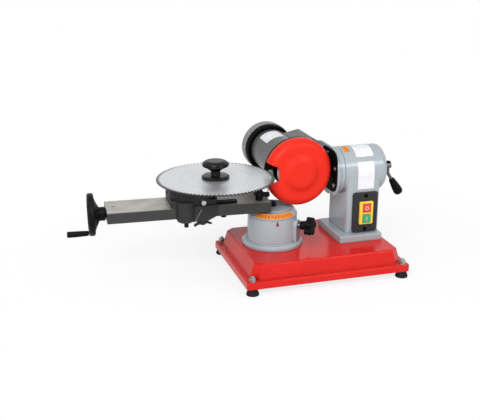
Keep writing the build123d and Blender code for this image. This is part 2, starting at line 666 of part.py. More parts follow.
def stop_bar():
    """Flat black bar on the arm's top, fixed to the saddle's right end."""
    bar = block((SADDLE_X[1], -86), (-36, -21), (ARM_TOP + SLIDE_GAP, ARM_TOP + 5))
    return on_arm(fillet(bar.edges().filter_by(Axis.Z).group_by(Axis.X)[-1], 4.0))


def blade_arbor():
    """Seat, spigot and stud of the blade."""
    profile = [(0, SADDLE_TOP), (6, SADDLE_TOP), (6, BRACKET_TOP), (28, BRACKET_TOP)]
    profile += [(28, BLADE_BOTTOM - 0.3)]
    profile += [(BLADE_BORE - RUN, BLADE_BOTTOM - 0.3), (BLADE_BORE - RUN, BLADE_TOP - 0.3)]
    profile += [(6, BLADE_TOP - 0.3), (6, KNOB_TOP - 6.5), (5, KNOB_TOP - 5.5), (0, KNOB_TOP - 5.5)]
    return on_arm(Pos(BLADE_X, 0, 0) * turned(profile))


def wing_screw():
    """Wing screw under the saddle's floor that presses on the arm and locks the carriage."""
    reach = DISC_TOP - SADDLE_FLOOR - 0.5
    hub = turned([(0, -10), (5.5, -10), (6.5, -0.6), (3, -0.6), (3, reach), (0, reach)])
    outline = [(3, -1.5), (9, -2.5), (20, -9), (19, -12.5), (9, -9), (3, -9)]
    wing = extrude(Plane.XZ * make_face(Polyline(*outline, close=True)), 2.1, both=True)
    screw = hub + wing + Rot(0, 0, 180) * wing
    return on_arm(Pos(WING_X, WING_Y, SADDLE_FLOOR) * Rot(0, 0, 12) * screw)


def saw_blade():
    pitch = 360 / BLADE_TEETH
    gullet = BLADE_RADIUS - 7.6
    shape = [(BLADE_RADIUS, 0.0), (BLADE_RADIUS - 1.6, 0.3), (gullet, 0.62), (gullet, 0.84)]
    points = []
    for tooth in range(BLADE_TEETH):
        for radius, share in shape:
            angle = math.radians((tooth + share) * pitch)
            points.append((radius * math.cos(angle), radius * math.sin(angle)))
    face = make_face(Polyline(*points, close=True)) - Circle(BLADE_BORE)
    body = Pos(0, 0, BLADE_BOTTOM) * extrude(face, BLADE_TOP - BLADE_BOTTOM)
    return on_arm(Pos(BLADE_X, 0, 0) * body)


def clamp_knob():
    """Mushroom knob with a broad foot that presses on the blade."""
    foot, top = BLADE_TOP + 0.5, KNOB_TOP
    stem, shoulder, brim = (10, 231), (27, top - 4.5), (27, top - 12)
    lower = Polyline(stem, (10, foot + 10), (11, foot + 7), (26, foot + 6), (29.5, foot + 3.5), (29.5, foot),
                     (6.3, foot), (6.3, top - 4.5), (0, top - 4.5), (0, top), (14, top))
    crown = ThreePointArc((14, top), (22, top - 1.2), shoulder)
    side = ThreePointArc(shoulder, (28.4, top - 8), brim)
    under = ThreePointArc(brim, (17, 236), stem)
    return on_arm(Pos(BLADE_X, 0, 0) * turned_curves([lower, crown, side, under]))


def lock_knob():
    """Lobed knob with a long hub that locks the turntable."""
    outline = Circle(14)
    for lobe in range(5):
        outline += Rot(0, 0, 72 * lobe + 20) * Pos(13.4, 0) * Circle(6.8)
    head = extrude(outline, 15.5)
    head = chamfer(head.faces().sort_by(Axis.Z)[-1].edges(), 1.5)
    head += Pos(0, 0, -13.5) * Cylinder(9, 13.5, align=(Align.CENTER, Align.CENTER, Align.MIN))
    head -= Pos(0, 0, -14.5) * Cylinder(4.05, 23, align=(Align.CENTER, Align.CENTER, Align.MIN))
    place = Pos(PEDESTAL_X, PEDESTAL_Y, LOCK_HEIGHT) * Rot(0, 0, LOCK_ANGLE)
    return place * Pos(LOCK_FACE + 19, 0, 0) * Rot(0, 90, 0) * head


def lock_stud():
    return lock_line(36, LOCK_FACE + 27, 4.0)


def below(height):
    """Everything below a height round the tilt axis."""
    return block((0, 100), (TILT_Y - 120, TILT_Y + 120), (height - 80, height))


def tilt_collar():
    """Collar on the tilt shaft with a broad plate, drawn out to the back, that takes the motor's bracket."""
    axis = (TILT_Y, TILT_Z)
    left, right = COLLAR_X
    radius, thickness, low = TILT_PLATE
    outline = make_hull((Pos(*axis) * Circle(radius) + Pos(*TILT_TAIL[:2]) * Circle(TILT_TAIL[2])).edges())
    plate = upright_plate(outline, left, thickness)
    plate = chamfer(plate.edges().group_by(Axis.X)[0], 1.0)
    collar = rod("x", COLLAR_RADIUS, left + 1, right, axis)
    collar = chamfer(collar.edges().group_by(Axis.X)[-1], 0.8)
    plate -= block((left - 1, right), (-60, 150), (TILT_TOP, TILT_TOP + 30))
    body = (plate - below(low)) + collar
    body -= rod("x", SHAFT_RADIUS + RUN, left - 1, right + 1, axis)
    for at in BRACKET_SCREWS:
        body -= rod("x", 2.6, left - 1, left + 3.6, at)
    return body


def upright_plate(outline, left, thickness):
    """A plate that stands across the X axis, from an outline drawn in Y and Z."""
    face = Plane((left, 0, 0), x_dir=(0, 1, 0), z_dir=(1, 0, 0)) * outline
    return extrude(face, thickness)


def motor_bracket():
    """Rounded plate on the tilt collar, with an arm to the motor and a hole for the motor's lead."""
    right = COLLAR_X[0]
    left = right - BRACKET_SHEET
    (front, back), (low, high) = BRACKET_Y_SPAN, BRACKET_Z_SPAN
    outline = Pos((front + back) / 2, (low + high) / 2) * RectangleRounded(back - front, high - low, 24)
    arm = block((0, left + 1), (32, 52), (194, 228))
    body = upright_plate(outline, left, BRACKET_SHEET)
    body += arm - rod("y", MOTOR_RADIUS + 0.05, 30, 62, (HEAD_X, HEAD_Z))
    body -= rod("x", 9, left - 1, right + 1, (TILT_Y, TILT_Z))
    for at in BRACKET_SCREWS:
        body -= rod("x", 2.6, left - 1, right + 1, at)
    return body


def tilt_shaft():
    axis = (TILT_Y, TILT_Z)
    shaft = rod("x", SHAFT_RADIUS, COLLAR_X[0], 148, axis) + rod("x", 6, 148, LEVER_X - 7, axis)
    return shaft - rod("x", 10, COLLAR_X[0] - 1, 130, axis)


def motor_shell():
    at = (HEAD_X, HEAD_Z)
    tube = rod("y", MOTOR_RADIUS, MOTOR_Y[0], MOTOR_Y[1], at)
    return tube - rod("y", MOTOR_RADIUS - MOTOR_WALL, MOTOR_Y[0] - 1, MOTOR_Y[1] + 1, at)


def end_bells():
    """Front bell with its nose and rear bell, each with a bearing seat."""
    at = (HEAD_X, HEAD_Z)
    start, stop = MOTOR_Y
    ring = COVER_RADIUS - 2.1
    front = [(9, start - 20), (26, start - 20), (26, start - 10), (40, start - 10), (MOTOR_RADIUS, start - 6)]
    front += [(MOTOR_RADIUS, start), (17.55, start), (17.55, start - 12), (9, start - 12)]
    rear = [(9, stop + 17), (24, stop + 17), (28, stop + 13), (ring - 3, stop + 13), (ring - 3, stop + 22)]
    rear += [(ring, stop + 22), (ring, stop + 2), (ring - 2, stop), (17.55, stop), (17.55, stop + 11)]
    rear += [(9, stop + 11)]
    nose = turned_y(front, at)
    for angle in GUARD_SCREWS:
        nose -= rod("y", 2.6, start - 11, start - 6, polar(GUARD_SCREW_RADIUS, angle))
    return group([nose, turned_y(rear, at)])


def fan_cover():
    at = (HEAD_X, HEAD_Z)
    start, stop = COVER_Y
    outer = rod("y", COVER_RADIUS, start, stop, at)
    outer = fillet(outer.edges().group_by(Axis.Y)[-1], 12.0)
    inner = rod("y", COVER_RADIUS - 1.9, start - 1, stop - 2, at)
    inner = fillet(inner.edges().group_by(Axis.Y)[-1], 10.5)
    cover = outer - inner
    slot = SlotOverall(17, 4.5)
    for ring, count in ((15, 6), (31, 14)):
        for number in range(count):
            angle = 360 / count * number
            place = Rot(0, 0, angle) * Pos(ring, 0) * slot
            cover -= Pos(at[0], stop - 8, at[1]) * Rot(-90, 0, 0) * extrude(place, 12)
    return cover


def stator():
    """Laminated core and the two winding heads."""
    at = (HEAD_X, HEAD_Z)
    start, stop = CORE_Y
    core = rod("y", MOTOR_RADIUS - MOTOR_WALL - 0.05, start, stop, at) - rod("y", 27, start - 1, stop + 1, at)
    heads = []
    for low, high in ((start - 16, start - 0.2), (stop + 0.2, stop + 16)):
        ring = rod("y", 39, low, high, at) - rod("y", 29, low - 1, high + 1, at)
        heads.append(fillet(ring.edges(), 3.0))
    return group([core] + heads)


def box_place(shape):
    """Place a piece drawn with x out of the motor's axis and z along its side."""
    return Pos(HEAD_X, 0, HEAD_Z) * Rot(0, -BOX_ANGLE, 0) * shape


def capacitor_box():
    low, high = BOX_Y
    outer = block((30, 74), (low, high), (-2, 37.5))
    outer = fillet(outer.edges().filter_by(Axis.Y).group_by(Axis.X)[-1], 11.0)
    outer = fillet(outer.faces().sort_by(Axis.X)[-1].edges().filter_by(Axis.Z), 6.0)
    inner = block((20, 71), (low + 3, high - 3), (1, 34.5))
    shell = box_place(outer - inner)
    return shell - rod("y", MOTOR_RADIUS + 0.05, low - 1, high + 1, (HEAD_X, HEAD_Z))


def capacitor():
    low, high = BOX_Y
    can = rod("y", 12, low + 14, high - 14, (58, 18))
    can = fillet(can.edges(), 1.5)
    tabs = [block((57.5 + dx, 58.5 + dx), (low + 6, low + 14), (15, 21)) for dx in (-4, 4)]
    return box_place(can + tabs[0] + tabs[1])


def notch_block(outline):
    """A mouth in the left side of the guard or its backplate, through which the blade reaches the wheel."""
    return Pos(0, 60, 0) * extrude(Plane.XZ * make_face(Polyline(*outline, close=True)), 120)


def guard_backplate():
    """Pan behind the wheel, with a lip that carries the guard and pads against the motor's front bell."""
    inside = GUARD_RADIUS - GUARD_SHEET - 0.1
    outside = GUARD_RADIUS - 0.6
    back = GUARD_Y[1]
    profile = [(27, back - 2.5), (inside - 2.5, back - 2.5), (inside - 2.5, back - 9), (inside, back - 9)]
    profile += [(inside, back + 0.2), (outside, back + 0.2), (outside, back + 7), (outside - 3, back + 7)]
    profile += [(outside - 3, back), (27, back)]
    plate = turned_y(profile, (GUARD_X, GUARD_Z)) - notch_block(BACK_NOTCH)
    for angle in GUARD_SCREWS:
        at = polar(GUARD_SCREW_RADIUS, angle)
        plate += rod("y", 5, back, MOTOR_Y[0] - 10, at)
        plate -= rod("y", 2.6, back - 4, MOTOR_Y[0], at)
    return plate


def polar(radius, angle):
    """A point round the motor's axis, in X and Z."""
    turn = math.radians(angle)
    return HEAD_X + radius * math.cos(turn), HEAD_Z + radius * math.sin(turn)


def guard_form(front, radius, back, rim):
    """A round cover's form: raised middle, soft step, flat ring and rounded rim."""
    middle, top = DOME_RADIUS / 2, front - DOME_RISE
    step = Spline((middle, top), (DOME_RADIUS, front), tangents=[(1, 0), (1, 0)])
    ring = Line((DOME_RADIUS, front), (radius - rim, front))
    edge = CenterArc((radius - rim, front + rim), rim, -90, 90)
    rest = Polyline((radius, front + rim), (radius, back), (0, back), (0, top), (middle, top))
    return Pos(GUARD_X, 0, GUARD_Z) * Rot(-90, 0, 0) * turned_curves([step, ring, edge, rest])


def wheel_guard():
    """Round cover over the wheel with a raised middle and a mouth on the left."""
    front, back = GUARD_Y
    outer = guard_form(front, GUARD_RADIUS, back, GUARD_RIM)
    inner = guard_form(front + GUARD_SHEET, GUARD_RADIUS - GUARD_SHEET, back + 1, GUARD_RIM - GUARD_SHEET)
    return outer - inner - notch_block(NOTCH)


def head_screws():
    """Screws of the guard's backplate and of the motor's bracket."""
    back = GUARD_Y[1]
    screws = []
    for angle in GUARD_SCREWS:
        at = polar(GUARD_SCREW_RADIUS, angle)
        head = rod("y", 4.2, back - 4.2, back - 2.5, at)
        screws.append(head + rod("y", 2.5, back - 2.5, MOTOR_Y[0] - 7, at))
    face = COLLAR_X[0] - BRACKET_SHEET
    for at in BRACKET_SCREWS:
        screws.append(rod("x", 4.2, face - 2.2, face, at) + rod("x", 2.5, face, COLLAR_X[0] + 3.4, at))
    return group(screws)


def motor_bearings():
    at = (HEAD_X, HEAD_Z)
    bearings = []
    for low in (MOTOR_Y[0] - 12, MOTOR_Y[1]):
        ring = rod("y", 17.5, low + 0.02, low + 10.9, at)
        bearings.append(ring - rod("y", SPINDLE_RADIUS + RUN, low - 1, low + 12, at))
    return group(bearings)


def rotor_shaft():
    at = (HEAD_X, HEAD_Z)
    seat = WHEEL_SEAT
    shaft = rod("y", SPINDLE_RADIUS, seat, FAN_Y[1], at) + rod("y", 6, seat - 15.5, seat, at)
    return chamfer(shaft.edges().group_by(Axis.Y)[-1], 1.0)


def rotor_core():
    at = (HEAD_X, HEAD_Z)
    start, stop = CORE_Y
    return rod("y", 26.6, start, stop, at) - rod("y", SPINDLE_RADIUS + 0.02, start - 1, stop + 1, at)


def cooling_fan():
    at = (HEAD_X, HEAD_Z)
    start, stop = FAN_Y
    fan = rod("y", 13, start, stop, at) + rod("y", 40, start, start + 2, at)
    for blade in range(8):
        vane = block((12, 40), (start + 1, stop), (-1, 1))
        fan += Pos(HEAD_X, 0, HEAD_Z) * Rot(0, 45 * blade, 0) * vane
    return fan - rod("y", SPINDLE_RADIUS + 0.02, start - 1, stop + 1, at)


def grinding_wheel():
    """Dish wheel: a flat back, a hollow front and a thin rim."""
    rim, seat = WHEEL_DISC_RADIUS, WHEEL_SEAT
    profile = [(6.05, seat - 8), (20, seat - 8), (rim - 12, seat - 2.5), (rim, seat - 2.5)]
    profile += [(rim, seat + 2), (rim - 12, seat + 1), (20, seat - 0.5), (6.05, seat - 0.5)]
    return turned_y(profile, (HEAD_X, HEAD_Z))


def wheel_clamp():
    """Inner flange, outer flange and nut of the wheel."""
    at = (HEAD_X, HEAD_Z)
    seat, bore = WHEEL_SEAT, SPINDLE_RADIUS + 0.02
    inner = turned_y([(bore, seat), (6.05, seat), (6.05, seat - 0.5), (18, seat - 0.5), (18, seat + 3),
                      (12, seat + 8.5), (bore, seat + 8.5)], at)
    outer = rod("y", 17, seat - 10.5, seat - 8, at) - rod("y", 6.05, seat - 12, seat - 7, at)
    nut = hexagon("y", 18, seat - 15, seat - 10.5, at) - rod("y", 6.05, seat - 16, seat - 10, at)
    return group([inner, outer, nut])


def lever_arm():
    """Hub on the tilt shaft's thread and the bent rod through it."""
    axis = (TILT_Y, TILT_Z)
    hub = rod("x", 12, HOUSING_X[1] + 0.4, HOUSING_X[1] + 3, axis)
    hub += rod("x", 6.8, HOUSING_X[1] + 2, LEVER_X + 5, axis)
    hub -= rod("x", 6 + RUN, HOUSING_X[1] - 1, LEVER_X - 5, axis)
    along = (GRIP_END[0] - GRIP_START[0], GRIP_END[1] - GRIP_START[1])
    top = (LEVER_X, TILT_Y, TILT_Z + 5)
    bend = (LEVER_X, TILT_Y, GRIP_START[1] + (LEVER_X - GRIP_START[0]) * along[1] / along[0])
    tip = (GRIP_START[0] + GRIP_DEPTH * along[0], TILT_Y, GRIP_START[1] + GRIP_DEPTH * along[1])
    path = FilletPolyline(top, bend, tip, radius=12)
    stem = sweep(Plane(top, z_dir=(0, 0, -1)) * Circle(3.6), path)
    cap = turned([(0, 0), (5.0, 0), (5.0, 2), (4.2, 2.8), (0, 2.8)])
    return hub + stem + Pos(*top) * cap


def lever_grip():
    """Tapered grip on the lower end of the lever."""
    dx, dz = GRIP_END[0] - GRIP_START[0], GRIP_END[1] - GRIP_START[1]
    length = math.hypot(dx, dz)
    deep = GRIP_DEPTH * length + 0.5
    profile = [(3.65, 0), (5.2, 0), (6.8, 4), (10.4, length - 9), (9.6, length - 3), (6.2, length)]
    profile += [(0, length), (0, deep), (3.65, deep)]
    lean = math.degrees(math.atan2(dx, dz))
    return Pos(GRIP_START[0], TILT_Y, GRIP_START[1]) * Rot(0, lean, 0) * turned(profile)


PARTS = {
    "base_shell": base_shell,
    "rubber_feet": rubber_feet,
    "foot_bolts": foot_bolts,
    "foot_nuts": foot_nuts,
    "pedestal": pedestal,
    "column": column,
    "machine_screws": machine_screws,
    "bushes": bushes,
    "switch_plate": switch_plate,
    "switch_bezel": switch_bezel,
    "switch_body": switch_body,
    "start_button": lambda: push_button(0),
    "stop_button": lambda: push_button(1),
    "cable_gland": cable_gland,
    "table_disc": table_disc,
    "angle_scale": angle_scale,
    "pivot_bolt": pivot_bolt,
    "arm_rail": arm_rail,
    "arm_screws": arm_screws,
    "screw_bush": screw_bush,
    "finger_post": finger_post,
    "finger_arm": finger_arm,
    "finger_rod": finger_rod,
    "lead_screw": lead_screw,
    "handwheel": handwheel,
    "wheel_nut": wheel_nut,
    "crank_pin": crank_pin,
    "crank_grip": crank_grip,
    "saddle": saddle,
    "carriage_bolts": carriage_bolts,
    "blade_bracket": blade_bracket,
    "lead_nut": lead_nut,
    "gib_strip": gib_strip,
    "stop_bar": stop_bar,
    "blade_arbor": blade_arbor,
    "wing_screw": wing_screw,
    "saw_blade": saw_blade,
    "clamp_knob": clamp_knob,
    "lock_knob": lock_knob,
    "lock_stud": lock_stud,
    "tilt_collar": tilt_collar,
    "motor_bracket": motor_bracket,
    "tilt_shaft": tilt_shaft,
    "motor_shell": motor_shell,
    "end_bells": end_bells,
    "fan_cover": fan_cover,
    "stator": stator,
    "capacitor_box": capacitor_box,
    "capacitor": capacitor,
    "guard_backplate": guard_backplate,
    "wheel_guard": wheel_guard,
    "head_screws": head_screws,
    "motor_bearings": motor_bearings,
    "rotor_shaft": rotor_shaft,
    "rotor_core": rotor_core,
    "cooling_fan": cooling_fan,
    "grinding_wheel": grinding_wheel,
    "wheel_clamp": wheel_clamp,
    "lever_arm": lever_arm,
    "lever_grip": lever_grip,
}

os.makedirs("parts", exist_ok=True)
for name, make in PARTS.items():
    export_step(make(), f"parts/{name}.step")
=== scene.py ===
import json
import math

import bmesh
import bpy
from mathutils import Matrix, Vector


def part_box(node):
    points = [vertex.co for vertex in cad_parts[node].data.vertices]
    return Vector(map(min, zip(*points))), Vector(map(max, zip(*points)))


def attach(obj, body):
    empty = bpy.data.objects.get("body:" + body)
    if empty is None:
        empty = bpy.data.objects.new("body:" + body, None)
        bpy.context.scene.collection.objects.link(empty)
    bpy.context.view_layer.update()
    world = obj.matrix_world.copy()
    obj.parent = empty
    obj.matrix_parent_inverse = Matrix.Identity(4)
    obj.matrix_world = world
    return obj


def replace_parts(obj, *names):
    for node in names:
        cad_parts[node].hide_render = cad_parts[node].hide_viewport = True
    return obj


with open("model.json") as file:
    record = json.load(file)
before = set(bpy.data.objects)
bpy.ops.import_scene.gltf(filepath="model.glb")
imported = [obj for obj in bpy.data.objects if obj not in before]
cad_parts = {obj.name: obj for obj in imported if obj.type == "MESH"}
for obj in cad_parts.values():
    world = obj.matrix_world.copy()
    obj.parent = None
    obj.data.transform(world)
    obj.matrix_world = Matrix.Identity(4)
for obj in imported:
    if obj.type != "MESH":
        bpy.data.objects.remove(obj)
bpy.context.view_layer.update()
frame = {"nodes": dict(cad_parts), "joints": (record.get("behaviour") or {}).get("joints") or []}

MM = 0.001
FULL_TURN = 2 * math.pi
UP = Vector((0, 0, 1))
nodes = frame["nodes"]
joints = {joint["name"]: joint for joint in frame["joints"]}


# Places taken from the frame. Pieces are drawn in millimetres.

def shift(x, y, z):
    return Matrix.Translation((x, y, z))


def turned(degrees, axis):
    return Matrix.Rotation(math.radians(degrees), 4, axis)


def turned_to(axis, origin=(0, 0, 0)):
    """A matrix that takes +Z to an axis at a point."""
    turn = UP.rotation_difference(Vector(axis))
    return Matrix.Translation(origin) @ turn.to_matrix().to_4x4()


def joint_place(name):
    return Vector(joints[name]["pos_m"]) / MM


arm_axis = Vector(joints["handwheel_turn"]["axis"])
arm_turn = math.atan2(arm_axis.y, arm_axis.x)
swivel = joint_place("table_swivel")
head = joint_place("rotor_spin")
tilt = joint_place("head_tilt")
TO_FRONT = turned(90, "X")
ARM_PLACE = shift(swivel.x, swivel.y, 0) @ Matrix.Rotation(arm_turn, 4, "Z")
HEAD_PLACE = shift(head.x, 0, head.z) @ turned(-90, "X")
TILT_PLACE = shift(0, tilt.y, tilt.z) @ turned(90, "Y")


def round_swivel(turn, radius, height):
    """A place round the turntable's axis, at an angle from the front in degrees."""
    return shift(swivel.x, swivel.y, height) @ turned(turn, "Z") @ shift(0, -radius, 0)


def round_motor(turn, radius, along):
    """A place on the motor's round side that faces out, at an angle in degrees."""
    return HEAD_PLACE @ turned(turn, "Z") @ shift(radius, 0, along) @ turned_to((1, 0, 0))


# Meshes

ON_AXIS = 1e-6
CORNER_SHARE = 0.45
RIM_SHARE = 0.3
SHEET_COLUMNS, SHEET_ROWS = 24, 18
NUT_SEGMENTS = 48
NUT_BEVEL, NUT_END = 0.045, 0.98
THREAD_ROWS = 6
RIDGE_CREST, RIDGE_SLOPE = 1.7, 5
CAD_SHARP, PIECE_SHARP = 32, 34


def even_turns(count):
    return [FULL_TURN * step / count for step in range(count)]


def on_circle(radius, turn, height):
    return radius * math.cos(turn), radius * math.sin(turn), height


def skin(shape, rings, segments):
    """Faces between rings of points; a ring of one point closes the end."""
    for below, above in zip(rings, rings[1:]):
        for step in range(segments):
            after = (step + 1) % segments
            corners = [below[step % len(below)], below[after % len(below)]]
            corners += [above[after % len(above)], above[step % len(above)]]
            corners = list(dict.fromkeys(corners))
            if len(corners) > 2:
                shape.faces.new(corners)


def lathe(shape, profile, segments, flutes=0, closed=False):
    """Turns (radius, height, groove depth) points round Z; the grooves are spread evenly round the side."""
    rings = []
    for radius, height, *groove in profile:
        if radius < ON_AXIS:
            rings.append([shape.verts.new((0, 0, height))])
            continue
        ring = []
        for turn in even_turns(segments):
            near = radius - sum(groove) * (0.5 + 0.5 * math.cos(flutes * turn))
            ring.append(shape.verts.new(on_circle(near, turn, height)))
        rings.append(ring)
    skin(shape, rings + rings[:1] if closed else rings, segments)


def rounded(points, radius, steps=4):
    """Replaces each corner of a closed line by a short curve."""
    points = [Vector(point) for point in points]
    made = []
    for number, corner in enumerate(points):
        back = points[number - 1] - corner
        ahead = points[(number + 1) % len(points)] - corner
        reach = min(radius, back.length * CORNER_SHARE, ahead.length * CORNER_SHARE)
        start = corner + back.normalized() * reach
        end = corner + ahead.normalized() * reach
        for step in range(steps + 1):
            share = step / steps
            made.append(start.lerp(corner, share).lerp(corner.lerp(end, share), share))
    return [tuple(point) for point in made]


def oblong(width, height, corner, steps=4):
    x, y = width / 2, height / 2
    return rounded([(-x, -y), (x, -y), (x, y), (-x, y)], corner, steps)


def slab(shape, outline, low, high, round_over):
    """A flat piece over an outline of (x, y) points, its upper rim rounded over."""
    middle = sum((Vector(point) for point in outline), Vector((0, 0))) / len(outline)
    levels = [(low, 0), (high - round_over, 0), (high - round_over * RIM_SHARE, RIM_SHARE), (high, 1)]
    rings = []
    for height, inset in levels:
        ring = []
        for point in outline:
            inward = (middle - Vector(point)).normalized() * round_over * inset
            ring.append(shape.verts.new((point[0] + inward.x, point[1] + inward.y, height)))
        rings.append(ring)
    skin(shape, rings, len(outline))
    shape.faces.new(rings[0])
    shape.faces.new(rings[-1])


def bent_sheet(shape, wide, tall, corner, thickness, place):
    """A thin sheet with round corners; place gives a point from steps across, up and out."""
    layers = []
    for out in (0.0, thickness):
        grid = []
        for row in range(SHEET_ROWS + 1):
            line = []
            for column in range(SHEET_COLUMNS + 1):
                across, up = wide * (column / SHEET_COLUMNS - 0.5), tall * (row / SHEET_ROWS - 0.5)
                over_x, over_y = abs(across) - wide / 2 + corner, abs(up) - tall / 2 + corner
                if over_x > 0 and over_y > 0:
                    pull = corner / max(corner, math.hypot(over_x, over_y))
                    across = math.copysign(wide / 2 - corner + over_x * pull, across)
                    up = math.copysign(tall / 2 - corner + over_y * pull, up)
                line.append(shape.verts.new(place(across, up, out)))
            grid.append(line)
        layers.append(grid)
    for grid in layers:
        for line, above in zip(grid, grid[1:]):
            for column in range(SHEET_COLUMNS):
                shape.faces.new((line[column], line[column + 1], above[column + 1], above[column]))
    rims = []
    for grid in layers:
        right = [line[-1] for line in grid[1:]]
        left = [line[0] for line in grid[-2:0:-1]]
        rims.append(grid[0] + right + grid[-1][-2::-1] + left)
    skin(shape, rims, len(rims[0]))


def curved_plate(shape, radius, turns, lengths, thickness=0.5, corner=2.0):
    """A thin plate bent round Z, over a span of angles in degrees and a span of heights."""
    middle = math.radians(sum(turns) / 2)

    def place(across, up, out):
        return on_circle(radius + out, middle + across / radius, sum(lengths) / 2 + up)

    wide = math.radians(turns[1] - turns[0]) * radius
    bent_sheet(shape, wide, lengths[1] - lengths[0], corner, thickness, place)


def nut(shape, across, low, high, bore=0.0):
    """A hexagon, its corners turned down at both ends, with or without a bore."""
    flat, bevel = across / 2, across * NUT_BEVEL
    turns = even_turns(NUT_SEGMENTS)
    rings = []
    for height, at_end in ((low, True), (low + bevel, False), (high - bevel, False), (high, True)):
        ring = []
        for turn in turns:
            side = flat / math.cos(turn % (math.pi / 3) - math.pi / 6)
            radius = flat * NUT_END if at_end else side
            ring.append(shape.verts.new(on_circle(radius, turn, height)))
        rings.append(ring)
    if bore:
        for height in (high, low):
            rings.append([shape.verts.new(on_circle(bore, turn, height)) for turn in turns])
        skin(shape, rings + rings[:1], NUT_SEGMENTS)
    else:
        skin(shape, rings, NUT_SEGMENTS)
        shape.faces.new(rings[0])
        shape.faces.new(rings[-1])


def thread(shape, radius, depth, pitch, low, high, segments=28):
    """A screw's shank with a ridge that winds up it."""
    rings = [[shape.verts.new((0, 0, low))]]
    count = int((high - low) / pitch * THREAD_ROWS)
    for row in range(count + 1):
        height = low + (high - low) * row / count
        run_out = min(1.0, row / THREAD_ROWS, (count - row) / THREAD_ROWS)
        ring = []
        for step, turn in enumerate(even_turns(segments)):
            phase = (height / pitch - step / segments) % 1.0
            ridge = min(1.0, max(0.0, RIDGE_CREST - abs(phase - 0.5) * RIDGE_SLOPE))
            near = radius - depth * (1 - ridge * run_out)
            ring.append(shape.verts.new(on_circle(near, turn, height)))
        rings.append(ring)
    rings.append([shape.verts.new((0, 0, high))])
    skin(shape, rings, segments)


def copies(build, matrices):
    """One mesh with a form built at each of several places."""
    shape = bmesh.new()
    for matrix in matrices:
        start = len(shape.verts)
        build(shape)
        shape.verts.ensure_lookup_table()
        bmesh.ops.transform(shape, matrix=matrix, verts=shape.verts[start:])
    return shape


def dress(mesh, material, sharp):
    """Gives a mesh its material and smooth faces; edges past an angle in degrees stay sharp."""
    mesh.materials.clear()
    mesh.materials.append(material)
    mesh.shade_smooth()
    mesh.set_sharp_from_angle(angle=math.radians(sharp))


def piece(name, body, material, build, places=(Matrix(),), origin=Matrix()):
    """An object that rides a body: a form built at each place, in millimetres round an origin."""
    shape = copies(build, places)
    bmesh.ops.recalc_face_normals(shape, faces=shape.faces)
    mesh = bpy.data.meshes.new(name)
    shape.to_mesh(mesh)
    shape.free()
    mesh.transform(Matrix.Scale(MM, 4))
    dress(mesh, material, PIECE_SHARP)
    made = bpy.data.objects.new(name, mesh)
    bpy.context.scene.collection.objects.link(made)
    made.matrix_world = Matrix.Translation(origin.to_translation() * MM) @ origin.to_3x3().to_4x4()
    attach(made, body)
    return made


# Materials. A pattern's scale counts its patches to the metre, and a pair of numbers is a span.

PATCHES = (0.3, 0.7)
EDGE_FOLD = (0.985, 0.88)
SHADE_SAMPLES = 6


def toned(color, factor, lift=0.0):
    """A colour made darker or lighter."""
    return [min(1.0, part * factor + lift) for part in color]


